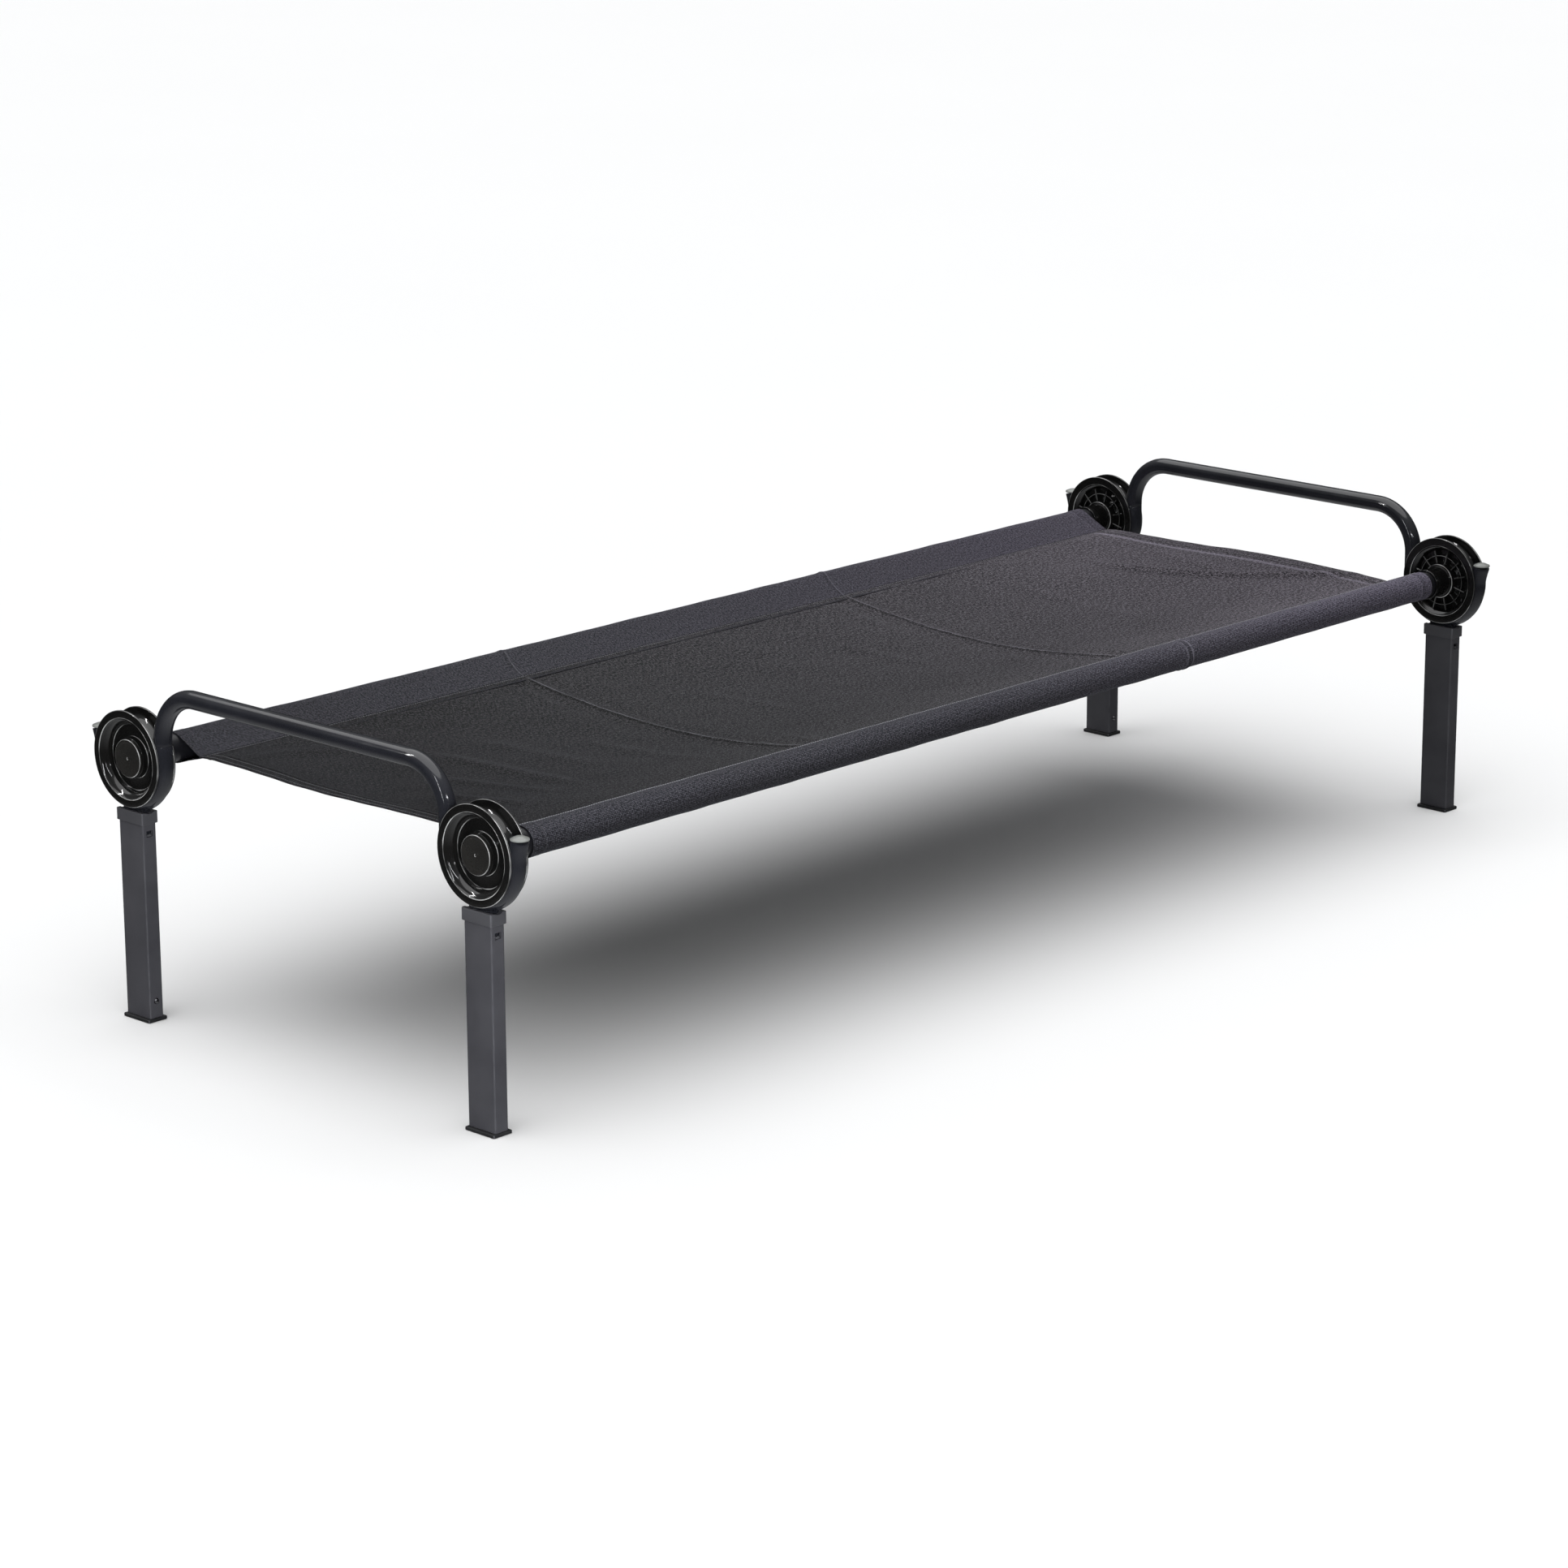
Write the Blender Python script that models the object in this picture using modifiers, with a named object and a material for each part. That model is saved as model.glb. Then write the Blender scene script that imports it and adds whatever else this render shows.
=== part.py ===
"""Raised full-length dog bed: a sling deck on two side rails, carried by two tubular end frames.

Axes: +X along the bed, +Y from the front rail to the back rail, +Z up, floor at z = 0.
Each rail ends in a grooved disc that sits in a U-shaped cradle on top of a leg.
"""
import math

import bmesh
import bpy

# Overall layout
FRAME_X = 1.0200        # centre plane of each end frame, from the middle of the bed
AXIS_Y = 0.3404         # rail axis, from the middle of the bed
AXIS_Z = 0.3676         # rail axis above the floor
GAP = 0.0003            # clearance between touching pieces

# End frames, 25 mm round tube
TUBE_R = 0.0125
BORE_R = 0.0106
CRADLE_R = 0.0612       # cradle centre line about the rail axis
INNER_ARM = 0.0275      # inner arm's end above the rail axis, where the hoop plugs in
OUTER_ARM = 0.0305      # outer arm's end above the rail axis
HOOP_RISE = 0.1010      # hoop bar's centre line above the rail axis
HOOP_BEND_R = 0.0685
SPIGOT_R = 0.0098
SPIGOT_LENGTH = 0.026
SPIGOT_BORE_R = 0.0082
TUBE_SIDES = 14
BORE_SIDES = 10
CAP_DOME = 0.0060       # height of the cap above the tube's end
CAP_PLUG_LENGTH = 0.014

# Stub under each cradle
STUB_SIZE_Y = 0.0412
STUB_SIZE_X = 0.0142
STUB_BOTTOM_Z = 0.2050

# Legs, rectangular tube
LEG_SIZE_Y = 0.0500
LEG_SIZE_X = 0.0230
LEG_WALL = 0.0020
LEG_CORNER_R = 0.0022
LEG_TOP_Z = 0.2900

# Leg collar: a skirt around the tube's end and a liner inside it
COLLAR_PROUD = 0.0025
COLLAR_BOTTOM_Z = 0.2788
COLLAR_TOP_Z = 0.2955
LINER_BOTTOM_Z = 0.2480
LINER_WALL = 0.0015
SLOT_SIZE_X = 0.0078
SLOT_SIZE_Z = 0.0084
SLOT_Z = 0.2648

# Foot: plate on the floor and a hollow plug in the leg's end
PLATE_SIZE_Y = 0.0545
PLATE_SIZE_X = 0.0325
PLATE_THICKNESS = 0.0046
PLUG_TOP_Z = 0.0460
PLUG_WALL = 0.0022

# Spring button that locks the foot in the leg
BUTTON_Z = 0.0285
BUTTON_R = 0.0040
BUTTON_HOLE_R = 0.0043
BUTTON_FLANGE_R = 0.0060
BUTTON_PROUD = 0.0026
BUTTON_TRAVEL = 0.0035
SPRING_WIDTH = 0.0090
SPRING_THICKNESS = 0.0008
SPRING_ARM = 0.0240
SPRING_BEND_R = 0.0040

# Side rails, 40 mm tube in three sections
RAIL_R = 0.0200
RAIL_BORE_R = 0.0184
RAIL_JOINT_X = 0.3710
RAIL_SPIGOT_R = 0.0180
RAIL_SPIGOT_BORE_R = 0.0164
RAIL_SPIGOT_LENGTH = 0.060
RAIL_NECK = 0.0030      # thicker ring of wall where a spigot begins
RAIL_SIDES = 28

# Discs: sheaves whose groove straddles the cradle tube
DISC_R = 0.0668
DISC_HALF_WIDTH = 0.0158
GROOVE_R = 0.0131
WEB_INBOARD = 0.0027    # inboard face of the web, from the disc's centre plane
WEB_OUTBOARD = 0.0002   # bowl floor, on the inboard side of the centre plane
BOWL_ARC_R = 0.0152
RING_INNER_R = 0.0560
RECESS_RING_R = 0.0545
BOSS_R = 0.0285
BOSS_TOP = 0.0090
HUB_BORE_R = 0.0060
SOCKET_R = 0.0265
SOCKET_END = 0.0510
SOCKET_BORE_R = 0.0203
SOCKET_BOTTOM = 0.0060
RIB_COUNT = 12
RIB_THICKNESS = 0.0020
RIB_DEPTH = 0.0125
RIB_INNER = 0.0250
RIB_OUTER = 0.0470
DISC_STEPS = 24
HUB_CAP_R = 0.0265
HUB_CAP_TOP = 0.0128
HUB_PLUG_R = 0.0056

# Fabric deck
FABRIC_END_X = 0.9400
FABRIC_T = 0.0008
SLEEVE_R = 0.0211
SLEEVE_TIP = 0.0560     # seam line, from the rail axis towards the middle
SLEEVE_DROP = 0.0050    # seam line, below the rail axis
TIP_R = 0.0010
PANEL_T = 0.0012
PANEL_SAG = 0.0260
PANEL_CELLS_X = 18
PANEL_CELLS_Y = 8

CORNERS = {
    "left_front": (-1, -1),
    "left_back": (-1, 1),
    "right_front": (1, -1),
    "right_back": (1, 1),
}


def clear_scene():
    for old in list(bpy.data.objects):
        bpy.data.objects.remove(old, do_unlink=True)


def make_collection(name):
    collection = bpy.data.collections.new(name)
    bpy.context.scene.collection.children.link(collection)
    return collection


clear_scene()
PARTS = make_collection("dog_bed_with_frame")
CUTTERS = make_collection("cutters")


def make_material(name, colour, roughness, metallic):
    material = bpy.data.materials.new(name)
    material.use_nodes = True
    shader = material.node_tree.nodes["Principled BSDF"]
    shader.inputs["Base Color"].default_value = (*colour, 1.0)
    shader.inputs["Roughness"].default_value = roughness
    shader.inputs["Metallic"].default_value = metallic
    return material


COATED_STEEL = make_material("coated_steel", (0.020, 0.021, 0.024), 0.38, 0.30)
LEG_COATING = make_material("leg_coating", (0.022, 0.022, 0.025), 0.50, 0.20)
DISC_PLASTIC = make_material("disc_plastic", (0.010, 0.010, 0.010), 0.12, 0.0)
HUB_PLASTIC = make_material("hub_plastic", (0.013, 0.013, 0.013), 0.20, 0.0)
COLLAR_PLASTIC = make_material("collar_plastic", (0.018, 0.018, 0.019), 0.45, 0.0)
CAP_PLASTIC = make_material("cap_plastic", (0.100, 0.105, 0.095), 0.35, 0.0)
FOOT_PLASTIC = make_material("foot_plastic", (0.012, 0.012, 0.012), 0.60, 0.0)
PLATED_STEEL = make_material("plated_steel", (0.45, 0.45, 0.46), 0.30, 1.0)
RAIL_COATING = make_material("rail_coating", (0.015, 0.015, 0.016), 0.32, 0.30)
DECK_FABRIC = make_material("deck_fabric", (0.016, 0.016, 0.018), 0.85, 0.0)


def new_object(name, mesh, collection):
    thing = bpy.data.objects.new(name, mesh)
    collection.objects.link(thing)
    if collection is CUTTERS:
        thing.hide_render = True
        thing.display_type = "WIRE"
    return thing


def mesh_from(bm, name):
    mesh = bpy.data.meshes.new(name)
    bm.to_mesh(mesh)
    bm.free()
    return mesh


def block(name, size_x, size_y, z_low, z_high, corner_r=0.0, centre_y=0.0):
    """A box whose upright edges can be rounded."""
    bm = bmesh.new()
    bmesh.ops.create_cube(bm, size=1.0)
    for vert in bm.verts:
        vert.co.x *= size_x
        vert.co.y = vert.co.y * size_y + centre_y
        vert.co.z = z_low if vert.co.z < 0 else z_high
    if corner_r > 0:
        upright = [e for e in bm.edges if abs(e.verts[0].co.z - e.verts[1].co.z) > 1e-6]
        bmesh.ops.bevel(bm, geom=upright, offset=corner_r, segments=3, profile=0.5, affect="EDGES")
    return new_object(name, mesh_from(bm, name), CUTTERS)


def rod(name, radius, start, length, axis="Z", centre=(0.0, 0.0, 0.0), sides=24):
    """A cylinder that begins at start on the named axis and runs along it."""
    bm = bmesh.new()
    bmesh.ops.create_cone(
        bm, cap_ends=True, segments=sides, radius1=radius, radius2=radius, depth=length
    )
    for vert in bm.verts:
        along = vert.co.z + length / 2 + start
        if axis == "Z":
            vert.co = (vert.co.x, vert.co.y, along)
        elif axis == "Y":
            vert.co = (vert.co.y, along, vert.co.x)
        else:
            vert.co = (along, vert.co.x, vert.co.y)
    bmesh.ops.translate(bm, verts=bm.verts, vec=centre)
    bmesh.ops.recalc_face_normals(bm, faces=bm.faces)
    return new_object(name, mesh_from(bm, name), CUTTERS)


def bake(thing, smooth_angle=math.radians(35)):
    """The object's evaluated shape as a plain mesh, welded and shaded smooth."""
    depsgraph = bpy.context.evaluated_depsgraph_get()
    mesh = bpy.data.meshes.new_from_object(thing.evaluated_get(depsgraph))
    bm = bmesh.new()
    bm.from_mesh(mesh)
    bmesh.ops.remove_doubles(bm, verts=bm.verts, dist=0.00001)
    bm.to_mesh(mesh)
    bm.free()
    mesh.shade_smooth()
    mesh.set_sharp_from_angle(angle=smooth_angle)
    return mesh


def combine(thing, others, operation):
    """Cut others from the object, or join them to it, and keep the plain mesh."""
    for other in others:
        modifier = thing.modifiers.new(other.name, "BOOLEAN")
        modifier.object = other
        modifier.operation = operation
        modifier.solver = "EXACT"
    mesh = bake(thing)
    thing.modifiers.clear()
    thing.data = mesh
    for other in others:
        bpy.data.objects.remove(other, do_unlink=True)
    return thing


def tube_along(name, points, radius, sides):
    """A round bar along a path, as a mesh with welded end caps."""
    curve = bpy.data.curves.new(name, "CURVE")
    curve.dimensions = "3D"
    curve.bevel_depth = radius
    curve.bevel_resolution = (sides - 4) // 2
    curve.use_fill_caps = True
    spline = curve.splines.new("POLY")
    spline.points.add(len(points) - 1)
    for point, place in zip(spline.points, points):
        point.co = (*place, 1.0)
    guide = new_object(name, curve, CUTTERS)
    mesh = bake(guide)
    bar = new_object(name, mesh, CUTTERS)
    bar.matrix_world = guide.matrix_world
    bpy.data.objects.remove(guide, do_unlink=True)
    return bar


def turned(name, outline, steps, closed):
    """A shape turned about local Z; the outline's points are (radius, height)."""
    bm = bmesh.new()
    verts = [bm.verts.new((radius, 0.0, height)) for radius, height in outline]
    for first, second in zip(verts, verts[1:]):
        bm.edges.new((first, second))
    if closed:
        bm.edges.new((verts[-1], verts[0]))
    thing = new_object(name, mesh_from(bm, name), CUTTERS)
    screw = thing.modifiers.new("turn", "SCREW")
    screw.steps = steps
    screw.render_steps = steps
    screw.use_merge_vertices = True
    screw.merge_threshold = 0.00001
    thing.data = bake(thing)
    thing.modifiers.clear()
    return thing


def arc(centre, radius, start, end, count):
    """Points on an arc in a plane, angles in degrees, both ends included."""
    points = []
    for i in range(count + 1):
        angle = math.radians(start + (end - start) * i / count)
        points.append((centre[0] + radius * math.cos(angle), centre[1] + radius * math.sin(angle)))
    return points


def place(name, pattern, material, location, rotation=(0.0, 0.0, 0.0)):
    """One finished piece: a named object that uses the pattern's mesh."""
    if not pattern.data.materials:
        pattern.data.materials.append(material)
    piece = new_object(name, pattern.data, PARTS)
    piece.location = location
    piece.rotation_euler = rotation
    return piece


def discard(*patterns):
    for pattern in patterns:
        bpy.data.objects.remove(pattern, do_unlink=True)


def side_turn(side):
    """Front pieces are modelled facing -Y; back pieces are turned half round."""
    return (0.0, 0.0, 0.0 if side < 0 else math.pi)


# --- end frames -------------------------------------------------------------------------

def cradle_path(reach_inner, reach_outer):
    """Centre line of a cradle about the rail axis: inner arm, half circle, outer arm."""
    path = [(0.0, CRADLE_R, reach_inner)]
    path += [(0.0, y, z) for y, z in arc((0.0, 0.0), CRADLE_R, 0, -180, 14)]
    path.append((0.0, -CRADLE_R, reach_outer))
    return path


def cradle():
    """U-bent tube, open at the ends of both arms."""
    bar = tube_along("cradle", cradle_path(INNER_ARM, OUTER_ARM), TUBE_R, TUBE_SIDES)
    past_ends = cradle_path(INNER_ARM + 0.01, OUTER_ARM + 0.01)
    bore = tube_along("bore", past_ends, BORE_R, BORE_SIDES)
    return combine(bar, [bore], "DIFFERENCE")


def hoop_path(end_z):
    """Centre line of the inverted U, with both legs running down to end_z."""
    leg_y = AXIS_Y - CRADLE_R
    bend_y = leg_y - HOOP_BEND_R
    bend_z = HOOP_RISE - HOOP_BEND_R
    path = [(0.0, -leg_y, end_z)]
    path += [(0.0, y, z) for y, z in arc((-bend_y, bend_z), HOOP_BEND_R, 180, 90, 8)]
    path += [(0.0, y, z) for y, z in arc((bend_y, bend_z), HOOP_BEND_R, 90, 0, 8)]
    path.append((0.0, leg_y, end_z))
    return path


def hoop():
    """Tube whose necked ends plug into the cradles' inner arms."""
    shoulder_z = INNER_ARM + GAP
    tip_z = shoulder_z - SPIGOT_LENGTH
    bar = tube_along("hoop", hoop_path(shoulder_z), TUBE_R, TUBE_SIDES)
    necks = []
    for y in (CRADLE_R - AXIS_Y, AXIS_Y - CRADLE_R):
        necks.append(
            rod("neck", SPIGOT_R, tip_z, SPIGOT_LENGTH + 0.002, centre=(0.0, y, 0.0), sides=TUBE_SIDES)
        )
    bar = combine(bar, necks, "UNION")
    bore = tube_along("bore", hoop_path(tip_z - 0.01), SPIGOT_BORE_R, BORE_SIDES)
    return combine(bar, [bore], "DIFFERENCE")


def cradle_cap():
    """Domed plug that closes the cradle's outer arm; its origin is at the tube's end."""
    outline = [(0.0, CAP_DOME)]
    outline += [(r, z) for r, z in arc((TUBE_R - 0.0025, 0.0020), 0.0025, 60, 0, 2)]
    outline += [(TUBE_R, GAP), (SPIGOT_R, GAP), (SPIGOT_R, -CAP_PLUG_LENGTH), (0.0, -CAP_PLUG_LENGTH)]
    return turned("cradle_cap", outline, 20, closed=False)


def stub():
    """Tenon welded under the cradle, hollowed on top to hug the tube."""
    top = -CRADLE_R - 0.006
    post = block("stub", STUB_SIZE_X, STUB_SIZE_Y, STUB_BOTTOM_Z - AXIS_Z, top, 0.002)
    saddle = tube_along("saddle", cradle_path(0.02, 0.02), TUBE_R + GAP, TUBE_SIDES)
    return combine(post, [saddle], "DIFFERENCE")


# --- legs -------------------------------------------------------------------------------

def leg():
    tube = block("leg", LEG_SIZE_X, LEG_SIZE_Y, PLATE_THICKNESS + GAP, LEG_TOP_Z, LEG_CORNER_R)
    bore = block(
        "bore", LEG_SIZE_X - 2 * LEG_WALL, LEG_SIZE_Y - 2 * LEG_WALL, -0.01, LEG_TOP_Z + 0.01, 0.001
    )
    slots = block(
        "slots", SLOT_SIZE_X, LEG_SIZE_Y + 0.02, SLOT_Z - SLOT_SIZE_Z / 2, SLOT_Z + SLOT_SIZE_Z / 2
    )
    hole = rod(
        "hole", BUTTON_HOLE_R, LEG_SIZE_Y / 2 - 0.006, 0.012, "Y", (0.0, 0.0, BUTTON_Z), sides=16
    )
    return combine(tube, [bore, slots, hole], "DIFFERENCE")


def collar():
    """Skirt, top plate and liner in one moulding, with a snap tab in each leg slot."""
    outer_x = LEG_SIZE_X + 2 * COLLAR_PROUD
    outer_y = LEG_SIZE_Y + 2 * COLLAR_PROUD
    liner_x = LEG_SIZE_X - 2 * LEG_WALL - 2 * GAP
    liner_y = LEG_SIZE_Y - 2 * LEG_WALL - 2 * GAP
    body = block("collar", outer_x, outer_y, COLLAR_BOTTOM_Z, COLLAR_TOP_Z, 0.003)
    rebate = block(
        "rebate", LEG_SIZE_X + 2 * GAP, LEG_SIZE_Y + 2 * GAP,
        COLLAR_BOTTOM_Z - 0.01, LEG_TOP_Z + GAP, LEG_CORNER_R,
    )
    body = combine(body, [rebate], "DIFFERENCE")
    liner = block("liner", liner_x, liner_y, LINER_BOTTOM_Z, COLLAR_TOP_Z - 0.0025, 0.001)
    tabs = block(
        "tabs", SLOT_SIZE_X - 4 * GAP, LEG_SIZE_Y - 2 * GAP,
        SLOT_Z - SLOT_SIZE_Z / 2 + 2 * GAP, SLOT_Z + SLOT_SIZE_Z / 2 - 2 * GAP,
    )
    body = combine(body, [liner, tabs], "UNION")
    socket = block(
        "socket", liner_x - 2 * LINER_WALL, liner_y - 2 * LINER_WALL,
        LINER_BOTTOM_Z - 0.01, COLLAR_TOP_Z + 0.01,
    )
    channel = rod(
        "channel", TUBE_R + 2 * GAP, -outer_y, 2 * outer_y, "Y", (0.0, 0.0, AXIS_Z - CRADLE_R), sides=32
    )
    return combine(body, [socket, channel], "DIFFERENCE")


def foot():
    plate = block("foot", PLATE_SIZE_X, PLATE_SIZE_Y, 0.0, PLATE_THICKNESS, 0.0015)
    plug_x = LEG_SIZE_X - 2 * LEG_WALL - 2 * GAP
    plug_y = LEG_SIZE_Y - 2 * LEG_WALL - 2 * GAP
    plug = block("plug", plug_x, plug_y, PLATE_THICKNESS - 0.001, PLUG_TOP_Z, 0.001)
    body = combine(plate, [plug], "UNION")
    hollow = block(
        "hollow", plug_x - 2 * PLUG_WALL, plug_y - 2 * PLUG_WALL,
        PLATE_THICKNESS + 0.002, PLUG_TOP_Z + 0.01,
    )
    hole = rod(
        "hole", BUTTON_HOLE_R, plug_y / 2 - 0.006, 0.012, "Y", (0.0, 0.0, BUTTON_Z), sides=16
    )
    return combine(body, [hollow, hole], "DIFFERENCE")


def plug_inner_y():
    """Inner face of the plug's wall behind the button."""
    return LEG_SIZE_Y / 2 - LEG_WALL - GAP - PLUG_WALL


def button():
    """Round-nosed pin; its origin is on its axis at the leg's face, and it points along +Z."""
    back = plug_inner_y() - LEG_SIZE_Y / 2 - GAP
    outline = [(0.0, BUTTON_PROUD)]
    outline += [(r, z) for r, z in arc((0.0, BUTTON_PROUD - BUTTON_R), BUTTON_R, 65, 30, 1)]
    outline += [(BUTTON_R, 0.0), (BUTTON_R, back), (BUTTON_FLANGE_R, back)]
    outline += [(BUTTON_FLANGE_R, back - 0.0012), (0.0, back - 0.0012)]
    return turned("button", outline, 14, closed=False)


def hairpin():
    """Leaf spring behind the button: two arms and a bend, in the plug's hollow."""
    half = SPRING_THICKNESS / 2
    arm_y = plug_inner_y() - GAP - 0.0012 - BUTTON_TRAVEL - GAP - half
    bend = (arm_y - SPRING_BEND_R, BUTTON_Z + 0.008)
    low = bend[1] - SPRING_ARM
    outer = arc(bend, SPRING_BEND_R + half, 0, 180, 8)
    inner = arc(bend, SPRING_BEND_R - half, 180, 0, 8)
    outline = [(outer[0][0], low)] + outer + [(outer[-1][0], low)]
    outline += [(inner[0][0], low)] + inner + [(inner[-1][0], low)]
    return flat_outline("spring", [outline], SPRING_WIDTH)


def flat_outline(name, loops, width):
    """A flat shape with its loops in local XY, given width along local Z."""
    curve = bpy.data.curves.new(name, "CURVE")
    curve.dimensions = "2D"
    curve.fill_mode = "BOTH"
    curve.extrude = width / 2
    for loop in loops:
        spline = curve.splines.new("POLY")
        spline.points.add(len(loop) - 1)
        spline.use_cyclic_u = True
        for point, (x, y) in zip(spline.points, loop):
            point.co = (x, y, 0.0, 1.0)
    guide = new_object(name, curve, CUTTERS)
    mesh = bake(guide)
    flat = new_object(name, mesh, CUTTERS)
    bpy.data.objects.remove(guide, do_unlink=True)
    return flat


# --- rails and discs --------------------------------------------------------------------

def disc_outline():
    """Radius and height of the sheave's section; height grows towards the outboard face."""
    edge = 0.0008
    rim = DISC_R
    face = DISC_HALF_WIDTH
    outline = [(RING_INNER_R, face), (rim - edge, face), (rim, face - edge)]
    outline.append((rim, GROOVE_R))
    outline += arc((CRADLE_R, 0.0), GROOVE_R, 90, 270, 8)
    outline += [(rim, -GROOVE_R), (rim, edge - face), (rim - edge, -face)]
    outline.append((RECESS_RING_R, -face))
    outline += arc((CRADLE_R, 0.0), BOWL_ARC_R, 238, 191, 2)
    outline += [(SOCKET_R, -WEB_INBOARD), (SOCKET_R, -SOCKET_END), (SOCKET_BORE_R, -SOCKET_END)]
    outline += [(SOCKET_BORE_R, -SOCKET_BOTTOM), (HUB_BORE_R, -SOCKET_BOTTOM)]
    outline += [(HUB_BORE_R, BOSS_TOP), (BOSS_R - 0.001, BOSS_TOP), (BOSS_R, BOSS_TOP - 0.001)]
    outline.append((BOSS_R, -WEB_OUTBOARD))
    outline += arc((CRADLE_R, 0.0), BOWL_ARC_R, 180, 118, 3)
    return outline


def disc():
    """Sheave on local Z, with radial ribs in its inboard recess."""
    sheave = turned("disc", disc_outline(), DISC_STEPS, closed=True)
    middle = (RIB_OUTER + RIB_INNER) / 2
    ribs = []
    for i in range(RIB_COUNT):
        rib = block("rib", RIB_THICKNESS, RIB_OUTER - RIB_INNER, -RIB_DEPTH, -0.0015, centre_y=middle)
        rib.rotation_euler = (0.0, 0.0, 2 * math.pi * (i + 0.5) / RIB_COUNT)
        ribs.append(rib)
    return combine(sheave, ribs, "UNION")


def hub_cap():
    outline = [(0.0, HUB_CAP_TOP - 0.0008), (0.0012, HUB_CAP_TOP - 0.0008), (0.0022, HUB_CAP_TOP)]
    outline += [(HUB_CAP_R - 0.0012, HUB_CAP_TOP), (HUB_CAP_R, HUB_CAP_TOP - 0.0010)]
    outline += [(HUB_CAP_R, BOSS_TOP + GAP), (HUB_PLUG_R, BOSS_TOP + GAP)]
    outline += [(HUB_PLUG_R, -SOCKET_BOTTOM + GAP), (0.0, -SOCKET_BOTTOM + GAP)]
    return turned("hub_cap", outline, DISC_STEPS, closed=False)


def rail_end():
    """Outer section of a rail, along local Z from the joint to the disc's socket."""
    low = RAIL_JOINT_X + GAP
    high = FRAME_X - SOCKET_BOTTOM - GAP
    outline = [(RAIL_R, high), (RAIL_R, low), (RAIL_BORE_R, low), (RAIL_BORE_R, high)]
    return turned("rail_end", outline, RAIL_SIDES, closed=True)


def rail_middle():
    """Middle section, with a necked spigot at each end."""
    tip = RAIL_JOINT_X + RAIL_SPIGOT_LENGTH
    outline = [(RAIL_SPIGOT_R, tip), (RAIL_SPIGOT_R, RAIL_JOINT_X), (RAIL_R, RAIL_JOINT_X)]
    outline += [(RAIL_R, -RAIL_JOINT_X), (RAIL_SPIGOT_R, -RAIL_JOINT_X), (RAIL_SPIGOT_R, -tip)]
    wide = RAIL_JOINT_X - RAIL_NECK
    outline += [(RAIL_SPIGOT_BORE_R, -tip), (RAIL_SPIGOT_BORE_R, -wide), (RAIL_BORE_R, -wide)]
    outline += [(RAIL_BORE_R, wide), (RAIL_SPIGOT_BORE_R, wide), (RAIL_SPIGOT_BORE_R, tip)]
    return turned("rail_middle", outline, RAIL_SIDES, closed=True)


# --- fabric -----------------------------------------------------------------------------

def teardrop(ring_r, tip_r, tip_at, turn):
    """Loop around the rail and a tip beside it, turned by an angle in degrees."""
    reach = math.degrees(math.acos((ring_r - tip_r) / tip_at))
    loop = arc((0.0, 0.0), ring_r, reach, 360 - reach, 26)
    loop += arc((tip_at, 0.0), tip_r, -reach, reach, 4)
    sine, cosine = math.sin(math.radians(turn)), math.cos(math.radians(turn))
    return [(x * cosine - y * sine, x * sine + y * cosine) for x, y in loop]


def sleeve():
    """Fabric sleeve around a rail, drawn out to the seam line on its inner side."""
    reach = math.hypot(SLEEVE_TIP, SLEEVE_DROP)
    turn = -math.degrees(math.atan2(SLEEVE_DROP, SLEEVE_TIP))
    outer = teardrop(SLEEVE_R, TIP_R, reach - TIP_R, turn)
    inner = teardrop(SLEEVE_R - FABRIC_T, TIP_R / 4, reach - 0.006, turn)
    return flat_outline("sleeve", [outer, inner], 2 * FABRIC_END_X)


def panel():
    """Sling between the two seams: taut and level at its ends, sagging in the middle."""
    half_y = AXIS_Y - SLEEVE_TIP - GAP
    bm = bmesh.new()
    bmesh.ops.create_grid(bm, x_segments=PANEL_CELLS_X, y_segments=PANEL_CELLS_Y, size=1.0)
    for vert in bm.verts:
        u, v = vert.co.x, vert.co.y
        sag = PANEL_SAG * (1 - v * v) * (1 - abs(u) ** 3)
        vert.co = (u * FABRIC_END_X, v * half_y, AXIS_Z - SLEEVE_DROP - sag)
    sheet = new_object("panel", mesh_from(bm, "panel"), CUTTERS)
    thickness = sheet.modifiers.new("thickness", "SOLIDIFY")
    thickness.thickness = PANEL_T
    thickness.offset = 0.0
    sheet.data = bake(sheet)
    sheet.modifiers.clear()
    return sheet


# --- assembly ---------------------------------------------------------------------------

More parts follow.
